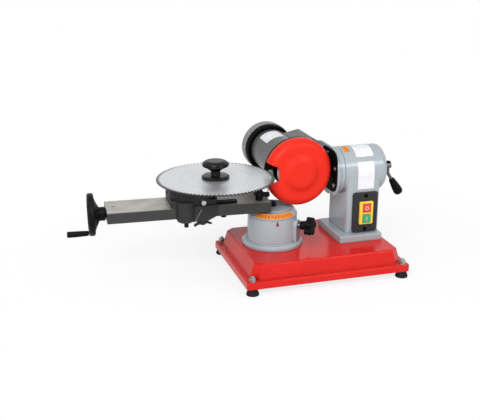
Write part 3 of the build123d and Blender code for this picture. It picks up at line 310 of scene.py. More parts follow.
class Surface:
    """A Principled material with patterns in the piece's own space."""

    def __init__(self, name, color, roughness, metallic=0.0, shine=0.5):
        self.material = bpy.data.materials.new(name)
        self.material.use_nodes = True
        self.tree = self.material.node_tree
        self.shader = self.tree.nodes["Principled BSDF"]
        self.color = color
        self.shader.inputs["Base Color"].default_value = (*color, 1.0)
        self.shader.inputs["Roughness"].default_value = roughness
        self.shader.inputs["Metallic"].default_value = metallic
        self.shader.inputs["Specular IOR Level"].default_value = shine
        self.coordinates = self.add("ShaderNodeTexCoord").outputs
        self.place = self.coordinates["Object"]
        self.soft = None

    def put(self, value, socket):
        if isinstance(value, bpy.types.NodeSocket):
            self.tree.links.new(value, socket)
        else:
            socket.default_value = value

    def add(self, kind, **values):
        """A node with its sockets and settings; a socket's value may be another node's output."""
        made = self.tree.nodes.new(kind)
        for key, value in values.items():
            socket = made.inputs.get(key.replace("_", " "))
            if socket is None:
                setattr(made, key, value)
            else:
                self.put(value, socket)
        return made

    def link(self, output, socket):
        self.tree.links.new(output, self.shader.inputs[socket])

    def noise(self, scale, detail=3.0, stretch=(1, 1, 1), turn=0.0):
        place = self.add("ShaderNodeMapping", Vector=self.place, Scale=stretch, Rotation=(0, 0, turn))
        made = self.add("ShaderNodeTexNoise", Vector=place.outputs[0], Scale=scale, Detail=detail)
        return made.outputs["Fac"]

    def limits(self, value, span, result=(0.0, 1.0)):
        """Maps a value from one span to another."""
        made = self.add("ShaderNodeMapRange", Value=value, From_Min=span[0], From_Max=span[1])
        made.inputs["To Min"].default_value, made.inputs["To Max"].default_value = result
        return made.outputs[0]

    def math(self, operation, first, second):
        made = self.add("ShaderNodeMath", operation=operation)
        self.put(first, made.inputs[0])
        self.put(second, made.inputs[1])
        return made.outputs[0]

    def vector(self, operation, output, *values):
        made = self.add("ShaderNodeVectorMath", operation=operation)
        for value, socket in zip(values, made.inputs):
            self.put(value, socket)
        return made.outputs[output]

    def mix(self, factor, first, second):
        """A colour between two, each a colour or an output."""
        made = self.add("ShaderNodeMix", data_type="RGBA")
        self.tree.links.new(factor, made.inputs["Factor"])
        for socket, value in ((made.inputs[6], first), (made.inputs[7], second)):
            self.put(value if isinstance(value, bpy.types.NodeSocket) else (*value, 1.0), socket)
        return made.outputs[2]

    def vary(self, scale, amount):
        """The colour, lighter and darker in patches."""
        patches = self.limits(self.noise(scale, detail=4.0), PATCHES)
        return self.mix(patches, toned(self.color, 1 - amount), toned(self.color, 1 + amount))

    def gloss(self, scale, span, detail=3.0):
        """Makes the roughness uneven in patches."""
        self.link(self.limits(self.noise(scale, detail), PATCHES, span), "Roughness")

    def upright(self):
        """How far a face looks up."""
        return self.add("ShaderNodeSeparateXYZ", Vector=self.coordinates["Normal"]).outputs["Z"]

    def edges(self, reach):
        """Softens sharp edges for the light, and returns a mask along them."""
        self.soft = self.add("ShaderNodeBevel", samples=SHADE_SAMPLES, Radius=reach).outputs[0]
        flat = self.add("ShaderNodeNewGeometry").outputs["Normal"]
        return self.limits(self.vector("DOT_PRODUCT", "Value", self.soft, flat), EDGE_FOLD)

    def relief(self, height, strength, depth):
        bump = self.add("ShaderNodeBump", Height=height, Strength=strength, Distance=depth)
        if self.soft:
            self.tree.links.new(self.soft, bump.inputs["Normal"])
        self.link(bump.outputs[0], "Normal")


def paint(name, color, roughness, shine, rub_and_highlight=0.3, edge=1.0, patches=0.04):
    """Enamel with orange peel and faint patches; painted shade darkens its corners and creases, and its edges
    are a little lighter, partly from rubbing and partly a painted highlight.
    """
    made = Surface(name, color, roughness, shine=shine)
    # Edges lighter in patches: partly rubbed paint, partly a painted highlight.
    patchy_rub_and_highlight = made.limits(made.noise(140.0, detail=5.0), (0.2, 0.8), (0.4 * rub_and_highlight, rub_and_highlight))
    edge_rub_and_highlight = made.math("MULTIPLY", made.edges(edge * MM), patchy_rub_and_highlight)
    # Painted shade: the colour turns darker where nearby faces close in round a point, as in corners and
    # creases.
    occlusion = made.add("ShaderNodeAmbientOcclusion", samples=SHADE_SAMPLES, Distance=9 * MM)
    unshaded = made.limits(occlusion.outputs["AO"], (0.2, 0.75))
    coat_and_shade = made.mix(unshaded, toned(color, 0.35), made.vary(14.0, patches))
    made.link(made.mix(edge_rub_and_highlight, coat_and_shade, toned(color, 1.5, lift=0.06)), "Base Color")
    made.gloss(60.0, (roughness * 0.85, roughness * 1.2), detail=4.0)
    made.relief(made.noise(700.0, detail=2.0), strength=0.12, depth=0.3 * MM)
    return made.material


def rough_cast(name, color, roughness):
    """Sand-cast iron under thin dark paint."""
    made = Surface(name, color, roughness, shine=0.25)
    # Edges lighter in patches: partly paint rubbed off the iron, partly a painted highlight.
    patchy_rub_and_highlight = made.limits(made.noise(170.0, detail=5.0), (0.3, 0.65), (0.15, 0.7))
    edge_rub_and_highlight = made.math("MULTIPLY", made.edges(1.2 * MM), patchy_rub_and_highlight)
    made.link(made.mix(edge_rub_and_highlight, made.vary(55.0, 0.14), toned(color, 2.2, lift=0.03)), "Base Color")
    made.gloss(90.0, (roughness - 0.12, roughness + 0.1), detail=4.0)
    made.relief(made.noise(520.0, detail=4.0), strength=0.35, depth=0.5 * MM)
    return made.material


def plastic(name, color, roughness, shine=0.3, grain=1500.0, relief=0.2):
    """Moulded plastic with a fine grain and soft edges."""
    made = Surface(name, color, roughness, shine=shine)
    # Edges a little lighter all along: partly scuffing, partly a painted highlight.
    edge_rub_and_highlight = made.math("MULTIPLY", made.edges(0.6 * MM), 0.5)
    made.link(made.mix(edge_rub_and_highlight, made.vary(70.0, 0.07), toned(color, 1.4, lift=0.03)), "Base Color")
    made.gloss(120.0, (roughness * 0.85, roughness * 1.2))
    made.relief(made.noise(grain, detail=2.0), strength=relief, depth=0.2 * MM)
    return made.material


def metal(name, color, roughness, stretch=(1, 1, 1), relief=0.1):
    """Metal with the marks of its machining along one direction."""
    made = Surface(name, color, roughness, metallic=1.0)
    # Edges a little lighter: partly rubbed bright, partly a painted highlight.
    made.link(made.mix(made.edges(0.5 * MM), made.vary(45.0, 0.08), toned(color, 1.25)), "Base Color")
    marks = made.noise(600.0, stretch=stretch)
    made.link(made.limits(marks, (0.25, 0.75), (roughness * 0.75, roughness * 1.35)), "Roughness")
    made.relief(marks, strength=relief, depth=0.2 * MM)
    return made.material


def rubber(name, color):
    made = Surface(name, color, 0.75, shine=0.25)
    made.link(made.vary(180.0, 0.3), "Base Color")
    made.gloss(90.0, (0.62, 0.85))
    made.relief(made.noise(800.0), strength=0.3, depth=0.4 * MM)
    return made.material


def ground_bar(name, dark, ground, turn):
    """A bar with mill scale on its sides and a stained top, ground bright along its length."""
    made = Surface(name, dark, 0.5)
    top = made.limits(made.upright(), (0.6, 0.95))
    lines = made.noise(420.0, stretch=(0.04, 1, 1), turn=turn)
    stains = made.limits(made.noise(30.0, detail=5.0), (0.35, 0.7))
    bright = made.mix(stains, ground, toned(ground, 0.72))
    # The sides are lighter along their edges: partly rubbed, partly a painted highlight.
    sides = made.mix(made.edges(1.0 * MM), made.vary(60.0, 0.2), toned(dark, 2.4, lift=0.02))
    made.link(made.mix(top, sides, bright), "Base Color")
    made.link(made.math("MULTIPLY", top, 0.45), "Metallic")
    made.link(made.limits(lines, (0.2, 0.8), (0.3, 0.5)), "Roughness")
    made.relief(lines, strength=0.15, depth=0.2 * MM)
    return made.material


def blade_face(name, color, gullets, rim):
    """A bright blade, ground in fine circles, duller in a rim between two radii, with painted shade making
    its sideways edges round the teeth, gullets and bore near black.
    """
    made = Surface(name, color, 0.3, metallic=0.7)
    radius = made.vector("LENGTH", "Value", made.vector("MULTIPLY", "Vector", made.place, (1, 1, 0)))
    along = made.add("ShaderNodeCombineXYZ", X=radius).outputs[0]
    fine = made.add("ShaderNodeTexNoise", Vector=along, Scale=2600.0, Detail=2.0).outputs["Fac"]
    broad = made.add("ShaderNodeTexNoise", Vector=along, Scale=140.0, Detail=2.0).outputs["Fac"]
    dull = toned(color, 0.75)
    shade = made.mix(made.limits(broad, PATCHES), toned(color, 0.86), color)
    shade = made.mix(made.limits(made.noise(60.0, detail=6.0), (0.62, 0.75), (0.0, 0.35)), shade, dull)
    shade = made.mix(made.limits(radius, [reach * MM for reach in rim]), shade, dull)
    upright = made.upright()
    face = made.limits(made.math("MULTIPLY", upright, upright), (0.3, 0.7))
    # Painted shade: faces that look sideways, the cut edges round the teeth, gullets and bore, take the
    # near-black gullet colour.
    made.link(made.mix(face, gullets, shade), "Base Color")
    made.link(made.limits(fine, (0.25, 0.75), (0.22, 0.42)), "Roughness")
    made.relief(fine, strength=0.12, depth=0.1 * MM)
    made.shader.inputs["Anisotropic"].default_value = 0.55
    made.link(made.add("ShaderNodeTangent", direction_type="RADIAL", axis="Z").outputs[0], "Tangent")
    return made.material


def abrasive(name, color, soot):
    """Bonded grit: specks of several tones, sooty patches and a rough face."""
    made = Surface(name, color, 0.85)
    grit = made.add("ShaderNodeTexVoronoi", Vector=made.place, Scale=1100.0).outputs
    tones = made.add("ShaderNodeSeparateColor", Color=grit["Color"]).outputs[0]
    specks = made.mix(tones, toned(color, 0.6), toned(color, 1.25))
    dirty = made.limits(made.noise(50.0), (0.35, 0.7), (0.0, 0.35))
    made.link(made.mix(dirty, specks, soot), "Base Color")
    made.relief(grit["Distance"], strength=0.6, depth=0.6 * MM)
    return made.material


RED = paint("red_enamel", (0.57, 0.012, 0.009), roughness=0.2, shine=0.2, rub_and_highlight=0.35, edge=1.3)
GUARD = paint("guard_enamel", (0.66, 0.022, 0.010), roughness=0.38, shine=0.12, rub_and_highlight=0.15, patches=0.03)
GREY = paint("grey_enamel", (0.33, 0.37, 0.40), roughness=0.2, shine=0.4, rub_and_highlight=0.2)
DARK_CAST = rough_cast("dark_casting", (0.021, 0.022, 0.022), roughness=0.55)
MOTOR_GREY = paint("motor_enamel", (0.064, 0.065, 0.066), roughness=0.3, shine=0.3)
BLACK_PAINT = paint("black_enamel", (0.006, 0.006, 0.006), roughness=0.5, shine=0.1, rub_and_highlight=0.12)
# Near-black, darker than the black enamel: partly the parts' own black paint and partly painted shade
# standing in for the deep gap between guard, motor and collar.
BLACK_AND_SHADE = paint("black_and_painted_shade", (0.0015, 0.0015, 0.0015), roughness=0.6, shine=0.04, rub_and_highlight=0.05)
COVER_GREY = paint("cover_enamel", (0.19, 0.192, 0.194), roughness=0.36, shine=0.25)
PLATE_BLACK = plastic("switch_plate_black", (0.026, 0.027, 0.028), roughness=0.45, shine=0.18)
BLACK_GLOSS = plastic("black_phenolic", (0.006, 0.006, 0.007), 0.16, shine=0.14, grain=500.0, relief=0.04)
BLACK_MATT = plastic("black_moulding", (0.004, 0.004, 0.005), roughness=0.42, shine=0.08)
YELLOW = plastic("yellow_moulding", (0.80, 0.56, 0.05), roughness=0.42)
RED_BUTTON = plastic("red_moulding", (0.62, 0.05, 0.035), roughness=0.35)
GREEN_BUTTON = plastic("green_moulding", (0.05, 0.33, 0.15), roughness=0.35)
ORANGE = plastic("orange_band", (0.66, 0.19, 0.015), roughness=0.5, shine=0.2)
WHITE_PLATE = plastic("pale_plate", (0.70, 0.71, 0.74), roughness=0.45)
MARK_DARK = plastic("dark_mark", (0.05, 0.012, 0.008), roughness=0.5, shine=0.2)
MARK_RED = plastic("pointer_red", (0.22, 0.012, 0.03), roughness=0.4)
MARK_PALE = plastic("pale_mark", (0.70, 0.60, 0.56), roughness=0.5)
STEEL = metal("machined_steel", (0.40, 0.40, 0.39), roughness=0.32, stretch=(1, 1, 8))
ZINC = metal("zinc_plate", (0.36, 0.35, 0.34), roughness=0.34)
CHROME = metal("bright_chrome", (0.50, 0.50, 0.51), roughness=0.16, relief=0.03)
DULL_STEEL = metal("dull_steel", (0.14, 0.14, 0.145), roughness=0.36)
BRONZE = metal("bronze", (0.50, 0.33, 0.14), roughness=0.35)
IRON = metal("core_plates", (0.22, 0.22, 0.23), roughness=0.5, stretch=(1, 30, 1))
RUBBER = rubber("black_rubber", (0.005, 0.005, 0.005))
ARM_BAR = ground_bar("ground_bar", (0.022, 0.023, 0.022), ground=(0.42, 0.405, 0.365), turn=arm_turn)
BLADE = blade_face("blade_steel_face", (0.66, 0.67, 0.685), gullets=(0.03, 0.03, 0.032), rim=(118.0, 119.2))
CARBIDE = metal("carbide", (0.10, 0.10, 0.105), roughness=0.4)
GRIT = abrasive("pink_grit", (0.62, 0.36, 0.32), soot=(0.16, 0.13, 0.12))

CAD_FINISH = {
    "base_shell": RED, "rubber_feet": RUBBER, "foot_bolts": ZINC, "foot_nuts": ZINC, "pedestal": GREY,
    "column": GREY, "machine_screws": ZINC, "bushes": BRONZE, "switch_plate": PLATE_BLACK,
    "switch_bezel": YELLOW, "switch_body": BLACK_MATT, "start_button": GREEN_BUTTON,
    "stop_button": RED_BUTTON, "cable_gland": BLACK_MATT, "table_disc": GREY, "angle_scale": ORANGE,
    "pivot_bolt": BLACK_PAINT, "arm_rail": ARM_BAR, "arm_screws": ZINC, "screw_bush": BRONZE,
    "finger_post": BLACK_PAINT, "finger_arm": BLACK_PAINT, "finger_rod": STEEL, "lead_screw": STEEL,
    "handwheel": BLACK_MATT, "wheel_nut": ZINC, "crank_pin": STEEL, "crank_grip": BLACK_MATT,
    "saddle": DARK_CAST, "carriage_bolts": BLACK_PAINT, "blade_bracket": DARK_CAST, "lead_nut": BRONZE,
    "gib_strip": BRONZE, "stop_bar": BLACK_PAINT, "blade_arbor": STEEL, "wing_screw": DARK_CAST,
    "saw_blade": BLADE, "clamp_knob": BLACK_GLOSS, "lock_knob": BLACK_MATT, "lock_stud": CHROME,
    "tilt_collar": GREY, "motor_bracket": BLACK_AND_SHADE, "tilt_shaft": STEEL, "motor_shell": MOTOR_GREY,
    "end_bells": BLACK_AND_SHADE, "fan_cover": COVER_GREY, "stator": IRON, "capacitor_box": MOTOR_GREY,
    "capacitor": BLACK_MATT, "guard_backplate": BLACK_AND_SHADE, "wheel_guard": GUARD, "head_screws": ZINC,
    "motor_bearings": STEEL, "rotor_shaft": STEEL, "rotor_core": IRON, "cooling_fan": BLACK_MATT,
    "grinding_wheel": GRIT, "wheel_clamp": ZINC, "lever_arm": DULL_STEEL, "lever_grip": BLACK_MATT,
}

for node, material in CAD_FINISH.items():
    dress(nodes[node].data, material, CAD_SHARP)

# Feet, each with a bolt, washer and nut

FOOT_X, FOOT_Y = 168.4, 119.9
FOOT_RADIUS, FOOT_NECK = 13.5, 11.0
FOOT_RIM, FOOT_SHOULDER, FOOT_TOP = 3, 9, 14.3
RECESS_RADIUS, RECESS_TOP = 7.8, 8.0
BOLT_HOLE = 4.1
BOLT_SHANK, BOLT_THREAD = 3.9, 3.95
HEAD_LOW, THREAD_LOW, SHANK_TOP, BOLT_TOP = 2.7, 30, 31, 41
WASHER_RADIUS = 8.0
WASHER_LOW, WASHER_HIGH = 29.7, 31.3
HEXAGON = 12.8
NUT_LOW, NUT_HIGH, NUT_BORE = 31.35, 37.7, 4.05
feet = [shift(x, y, 0) for x in (-FOOT_X, FOOT_X) for y in (-FOOT_Y, FOOT_Y)]


def foot(shape):
    profile = [(BOLT_HOLE, RECESS_TOP), (RECESS_RADIUS, RECESS_TOP), (RECESS_RADIUS, 0), (FOOT_RADIUS, 0)]
    profile += [(FOOT_RADIUS, FOOT_RIM), (FOOT_NECK, FOOT_SHOULDER)]
    profile += [(FOOT_NECK, FOOT_TOP), (BOLT_HOLE, FOOT_TOP)]
    lathe(shape, rounded(profile, radius=0.9), segments=48, closed=True)


def foot_bolt(shape):
    nut(shape, HEXAGON, HEAD_LOW, RECESS_TOP)
    shank = [(0, RECESS_TOP), (BOLT_SHANK, RECESS_TOP), (BOLT_SHANK, SHANK_TOP), (0, SHANK_TOP)]
    lathe(shape, shank, segments=32)
    thread(shape, BOLT_THREAD, depth=0.6, pitch=1.25, low=THREAD_LOW, high=BOLT_TOP, segments=24)


def foot_nut(shape):
    washer = [(BOLT_HOLE, WASHER_LOW), (WASHER_RADIUS, WASHER_LOW)]
    washer += [(WASHER_RADIUS, WASHER_HIGH), (BOLT_HOLE, WASHER_HIGH)]
    lathe(shape, rounded(washer, radius=0.4, steps=3), segments=40, closed=True)
    nut(shape, HEXAGON, NUT_LOW, NUT_HIGH, NUT_BORE)


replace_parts(piece("rubber_foot_set", "base", RUBBER, foot, feet), "rubber_feet")
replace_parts(piece("foot_bolt_set", "base", ZINC, foot_bolt, feet), "foot_bolts")
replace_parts(piece("foot_nut_set", "base", ZINC, foot_nut, feet), "foot_nuts")

# Saw blade. A tooth is (share of the pitch, depth below the tips).

BLADE_RADIUS = 125.0
BLADE_BORE = 15.0
BLADE_HALF = 1.2
BLADE_TEETH = 96
WHOLE_PLATE = 112.0
TOOTH = [(0.0, 0.0), (0.16, 0.7), (0.34, 1.7), (0.46, 3.6), (0.56, 5.8), (0.67, 7.2), (0.79, 7.5), (0.9, 6.4),
         (0.96, 4.2)]
TIP = [(120.2, -1.3), (124.6, -1.1), (124.9, 0.3), (120.2, 0.3)]
TIP_HALF = 1.5
blade_place = Matrix.Translation(joint_place("blade_spin")) @ ARM_PLACE.to_3x3().to_4x4()


def blade_plate(shape):
    """A toothed plate with rounded gullets and a bore."""
    outline = []
    for tooth in range(BLADE_TEETH):
        for share, depth in TOOTH:
            outline.append((FULL_TURN * (tooth + share) / BLADE_TEETH, BLADE_RADIUS - depth))
    rings = []
    for limit, height in [(BLADE_BORE, BLADE_HALF), (WHOLE_PLATE, BLADE_HALF), (BLADE_RADIUS, BLADE_HALF),
                          (BLADE_RADIUS, -BLADE_HALF), (WHOLE_PLATE, -BLADE_HALF), (BLADE_BORE, -BLADE_HALF)]:
        places = [on_circle(min(limit, radius), turn, height) for turn, radius in outline]
        rings.append([shape.verts.new(place) for place in places])
    skin(shape, rings + rings[:1], len(outline))


def blade_tip(shape):
    """A small hard tip on the front of a tooth, a little wider than the plate."""
    slab(shape, rounded(TIP, radius=0.2, steps=2), low=-TIP_HALF, high=TIP_HALF, round_over=0.15)


tips = [Matrix.Rotation(turn, 4, "Z") for turn in even_turns(BLADE_TEETH)]
toothed_blade = piece("toothed_blade", "saw_blade", BLADE, blade_plate, origin=blade_place)
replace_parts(toothed_blade, "saw_blade")
piece("blade_tips", "saw_blade", CARBIDE, blade_tip, tips, blade_place)

# Feed screw and crank. Places along the arm are counted from the turntable's axis.

SCREW_RADIUS, SCREW_PITCH = 6.0, 4.0
SCREW_START, SCREW_END = -391.5, -102.0
CRANK_PROFILE = [(3.0, -394.5), (5.0, -394.5), (5.5, -397.5), (6.0, -410), (6.4, -424), (6.4, -436),
                 (5.2, -439), (4.7, -439), (4.7, -435.2), (3.0, -435.2)]
screw_line = turned_to(arm_axis, ARM_PLACE @ Vector((0, 0, joint_place("handwheel_turn").z)))
crank_line = turned_to(arm_axis, ARM_PLACE @ Vector((0, 0, joint_place("crank_grip_turn").z)))


def feed_thread(shape):
    thread(shape, SCREW_RADIUS, depth=1.1, pitch=SCREW_PITCH, low=SCREW_START, high=SCREW_END)


def crank_handle(shape):
    lathe(shape, rounded(CRANK_PROFILE, radius=1.6), segments=48, closed=True)


feed = piece("feed_thread", "feed_screw", STEEL, feed_thread, origin=screw_line)
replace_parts(feed, "lead_screw")
crank = piece("crank_handle", "crank_grip", BLACK_MATT, crank_handle, [crank_line])
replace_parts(crank, "crank_grip")

# Turntable scale and the drop-shaped pointer below it

BEVEL_RADIUS, BEVEL_HEIGHT = 51.35, 135.6
BEVEL_LEAN = 55
SCALE_TURN = -11.2
TICK_STEP = 8
TICK_TURNS = range(-40, 41, TICK_STEP)
TICK_RISE = 0.8
POINTER_TURN = -6.5
POINTER_RADIUS, POINTER_HEIGHT = 53.6, 120.6
POINTER_SIDE = [(0, 7.0), (-0.9, 3.4), (-2.4, 0.2), (-3.0, -3.0), (-2.1, -5.6), (0, -6.6)]


def tick(shape):
    slab(shape, oblong(width=1.0, height=4.6, corner=0.2, steps=2), low=0, high=0.35, round_over=0.1)


def pointer(shape):
    outline = POINTER_SIDE + [(-x, y) for x, y in POINTER_SIDE[-2:0:-1]]
    slab(shape, rounded(outline, radius=1.2, steps=3), low=0, high=0.6, round_over=0.3)


def on_bevel(turn):
    """A place on the scale's slope, at an angle from the front in degrees; its Y runs up the slope."""
    return round_swivel(turn, BEVEL_RADIUS, BEVEL_HEIGHT) @ turned(BEVEL_LEAN, "X")


def upright_pointer():
    """The pointer's place on the pedestal's side; its Y runs up."""
    place = round_swivel(POINTER_TURN, POINTER_RADIUS, POINTER_HEIGHT) @ turned_to((0, -1, 0))
    upward = place.inverted().to_3x3() @ UP
    return place @ Matrix.Rotation(-math.atan2(upward.x, upward.y), 4, "Z")


rises = [TICK_RISE if turn % (2 * TICK_STEP) else 0 for turn in TICK_TURNS]
ticks = [on_bevel(turn + SCALE_TURN) @ shift(0, rise, 0) for turn, rise in zip(TICK_TURNS, rises)]
piece("scale_ticks", "table", MARK_DARK, tick, ticks)
piece("scale_pointer", "base", MARK_RED, pointer, [upright_pointer()])

# Switch

MARK_RISE = 0.35
RING_INNER, RING_OUTER = 3.1, 4.5
SWITCH_X, SWITCH_FACE = 115.75, -35.2
SWITCH_SCREW_HEIGHTS = (86.0, 162.0)
SCREW_NECK, SCREW_HEAD = 3.25, 3.8
CAP_UNDER, SLOT_FLOOR, SCREW_HEAD_TOP = 1.62, 1.7, 2.6
SLOT_EDGE, HEAD_STEPS = 12, 14


def ring_mark(shape):
    profile = [(RING_INNER, 0), (RING_OUTER, 0), (RING_OUTER, MARK_RISE), (RING_INNER, MARK_RISE)]
    lathe(shape, rounded(profile, radius=0.12, steps=2), segments=40, closed=True)


def bar_mark(shape):
    slab(shape, oblong(width=1.6, height=9.0, corner=0.5), low=0, high=MARK_RISE, round_over=0.12)


def button_face(node):
    """The middle of a button's front."""
    low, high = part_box(node)
    middle = (low + high) / 2 / MM
    return shift(middle.x, low.y / MM, middle.z) @ TO_FRONT


def slot_screw(shape):
    """A pan head over the plain screw, with a slot between its two halves."""
    cap = [(SCREW_NECK, 0), (SCREW_HEAD, 0), (SCREW_HEAD, SLOT_FLOOR), (0, SLOT_FLOOR)]
    lathe(shape, cap + [(0, CAP_UNDER), (SCREW_NECK, CAP_UNDER)], segments=40, closed=True)
    span = 180 - 2 * SLOT_EDGE
    turns = [math.radians(SLOT_EDGE + span * step / HEAD_STEPS) for step in range(HEAD_STEPS + 1)]
    for side in (1, -1):
        outline = [(SCREW_HEAD * math.cos(turn), side * SCREW_HEAD * math.sin(turn)) for turn in turns]
        slab(shape, outline, low=SLOT_FLOOR, high=SCREW_HEAD_TOP, round_over=0.6)


piece("stop_mark", "stop_button", MARK_PALE, ring_mark, [button_face("stop_button")])
piece("start_mark", "start_button", MARK_PALE, bar_mark, [button_face("start_button")])
switch_heads = [shift(SWITCH_X, SWITCH_FACE, height) @ TO_FRONT for height in SWITCH_SCREW_HEIGHTS]
piece("switch_screw_heads", "base", BLACK_AND_SHADE, slot_screw, switch_heads)

# Bare plates on the motor, the round housing and the column

MOTOR_RADIUS = 47.5
MOTOR_PLATE_TURNS, MOTOR_PLATE_SPAN = (-135, -81), (110, 164)
RIVET_TURNS, RIVET_SPAN = (-131, -85), (114, 160)
RIVET_PROFILE = [(0, 0.3), (1.5, 0.3), (1.4, 0.9), (0.9, 1.3), (0, 1.4)]
HOUSING_RADIUS = 51.5
HOUSING_PLATE_TURNS, HOUSING_PLATE_SPAN = (-182, -133), (97, 138)
PATCH_TURNS, PATCH_SPAN = (-178, -151), (75, 87)
COLUMN_PLATE_X = 116.2
COLUMN_PLATE_SIZE = (38.5, 61)
COLUMN_PLATE_DROP = 3.5
PLATE_GAP = 0.1


def motor_plate(shape):
    curved_plate(shape, MOTOR_RADIUS, MOTOR_PLATE_TURNS, MOTOR_PLATE_SPAN)


def plate_rivet(shape):
    lathe(shape, RIVET_PROFILE, segments=20)


def housing_plate(shape):
    curved_plate(shape, HOUSING_RADIUS, HOUSING_PLATE_TURNS, HOUSING_PLATE_SPAN)


def housing_patch(shape):
    curved_plate(shape, HOUSING_RADIUS, PATCH_TURNS, PATCH_SPAN, thickness=0.4, corner=3.0)


def column_plate(shape):
    """A sheet that lies flat on the column and follows the housing's round front above the tilt axis."""
    def place(across, up, out):
        rise = up - COLUMN_PLATE_DROP
        bend = max(0.0, rise) / HOUSING_RADIUS
        reach = HOUSING_RADIUS + PLATE_GAP + out
        height = reach * math.sin(bend) if rise > 0 else rise
        return COLUMN_PLATE_X + across, tilt.y - reach * math.cos(bend), tilt.z + height

    bent_sheet(shape, *COLUMN_PLATE_SIZE, corner=2.0, thickness=0.4, place=place)


rivets = [round_motor(turn, MOTOR_RADIUS + PLATE_GAP, along) for turn in RIVET_TURNS for along in RIVET_SPAN]
piece("motor_plate", "head", WHITE_PLATE, motor_plate, [HEAD_PLACE])
piece("plate_rivets", "head", ZINC, plate_rivet, rivets)
piece("housing_plate", "base", WHITE_PLATE, housing_plate, [TILT_PLACE])
piece("housing_patch", "base", ORANGE, housing_patch, [TILT_PLACE])
piece("column_plate", "base", WHITE_PLATE, column_plate)

# Clamp lever

GRIP_TOP = Vector((202.0, tilt.y, 177.5))
GRIP_TIP = Vector((225.0, tilt.y, 141.5))
ROD_HOLE = 3.65
HOLE_SHARE, HOLE_GAP = 0.6, 0.5
LEVER_X = 193
CAP_RISE = 5
CAP_PROFILE = [(0, -0.5), (5.3, -0.5), (5.3, 3.4), (4.4, 4.6), (0, 4.8)]


def lever_handle(shape):
    """A tapered grip with long flutes and a hole for the lever's rod."""
    length = (GRIP_TIP - GRIP_TOP).length
    hole = length * HOLE_SHARE + HOLE_GAP
    profile = [(ROD_HOLE, 0), (5.0, 0), (6.1, 1.2), (6.8, 4.0), (7.5, 8, 0.3), (8.7, 16, 0.7), (9.9, 26, 0.9)]
    profile += [(10.4, length - 9, 0.8), (10.2, length - 6, 0.5), (9.4, length - 3), (7.2, length - 0.9)]
    profile += [(4.0, length), (0, length), (0, hole), (ROD_HOLE, hole)]
    lathe(shape, profile, segments=96, flutes=12, closed=True)


def lever_cap(shape):
    """A dark cap on the upper end of the lever's rod."""
    lathe(shape, rounded(CAP_PROFILE, radius=0.5, steps=3), segments=40)


grip_place = turned_to(GRIP_TIP - GRIP_TOP, GRIP_TOP)
grip = piece("lever_handle", "clamp_lever", BLACK_MATT, lever_handle, [grip_place])
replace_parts(grip, "lever_grip")
cap_place = shift(LEVER_X, tilt.y, tilt.z + CAP_RISE)
piece("lever_cap", "clamp_lever", BLACK_MATT, lever_cap, [cap_place])

# Small fasteners and a wire on the carriage

COVER_RADIUS = 57.5
COVER_SCREW_ALONG = 203
COVER_SCREW_TURNS = (-175, -143, -85, -25, 35, 95)
COVER_SCREW_PROFILE = [(0, -0.6), (2.4, -0.6), (2.4, 0.5), (2.0, 1.0), (1.1, 1.2), (1.0, 0.6), (0, 0.6)]
FRONT_BOLT = (-160.1, -46.0, 178.4)
SOCKET_PROFILE = [(0, 0.2), (5.5, 0.2), (5.5, 4.6), (5.0, 5.8), (3.4, 6.2), (2.4, 6.2), (2.2, 5.0), (0, 5.0)]
STOP_SCREW = (-116.0, -37.0, 145.1)
STOP_WASHER = [(0, -1.2), (6.6, -1.2), (6.6, 0.2), (0, 0.2)]
WIRE_RADIUS = 0.7
WIRE_SEGMENTS = 12
WIRE_PATH = [(-164.0, -49.0, 166.5), (-164.6, -50.6, 165.3), (-165.6, -51.0, 163.3), (-180.4, -51.4, 138.0),
             (-181.4, -51.0, 136.2), (-181.9, -49.0, 135.2)]


def cover_screw(shape):
    lathe(shape, COVER_SCREW_PROFILE, segments=24)


def socket_head(shape):
    """A round head with a recess, over the hexagon behind it."""
    lathe(shape, rounded(SOCKET_PROFILE, radius=0.4, steps=3), segments=48)


def stop_screw(shape):
    """A low hexagon head with its washer."""
    lathe(shape, rounded(STOP_WASHER, radius=0.3, steps=2), segments=40)
    nut(shape, across=10.5, low=-4.6, high=-1.1)


def bent_wire(shape):
    """A thin wire bent in at both ends."""
    path = [Vector(point) for point in WIRE_PATH]
    rings = [[shape.verts.new(path[0])]]
    for before, point, after in zip(path, path[1:], path[2:]):
        place = turned_to(after - before, point)
        ring = [Vector(on_circle(WIRE_RADIUS, turn, 0)) for turn in even_turns(WIRE_SEGMENTS)]
        rings.append([shape.verts.new(place @ corner) for corner in ring])
    rings.append([shape.verts.new(path[-1])])
    skin(shape, rings, WIRE_SEGMENTS)


cover_heads = [round_motor(turn, COVER_RADIUS, COVER_SCREW_ALONG) for turn in COVER_SCREW_TURNS]
front_bolt = ARM_PLACE @ shift(*FRONT_BOLT) @ TO_FRONT
piece("cover_screws", "head", ZINC, cover_screw, cover_heads)
piece("carriage_front_bolt", "carriage", CHROME, socket_head, [front_bolt])
piece("arm_stop_screw", "table", BLACK_PAINT, stop_screw, [ARM_PLACE @ shift(*STOP_SCREW)])
piece("carriage_wire", "carriage", STEEL, bent_wire, [ARM_PLACE])

# Floor, light and camera, in metres

FLOOR_SIZE = 12.0
FLOOR_FADE = (0.25, 0.7)
WORLD_LIGHT = 0.45
CAMERA_PLACE = (-0.6335, -1.5999, 0.7098)
CAMERA_TURN = math.radians(16.48)
CAMERA_DIP = math.radians(18.74)
CAMERA_LENS = 61.9
SENSOR_WIDTH = 36.0


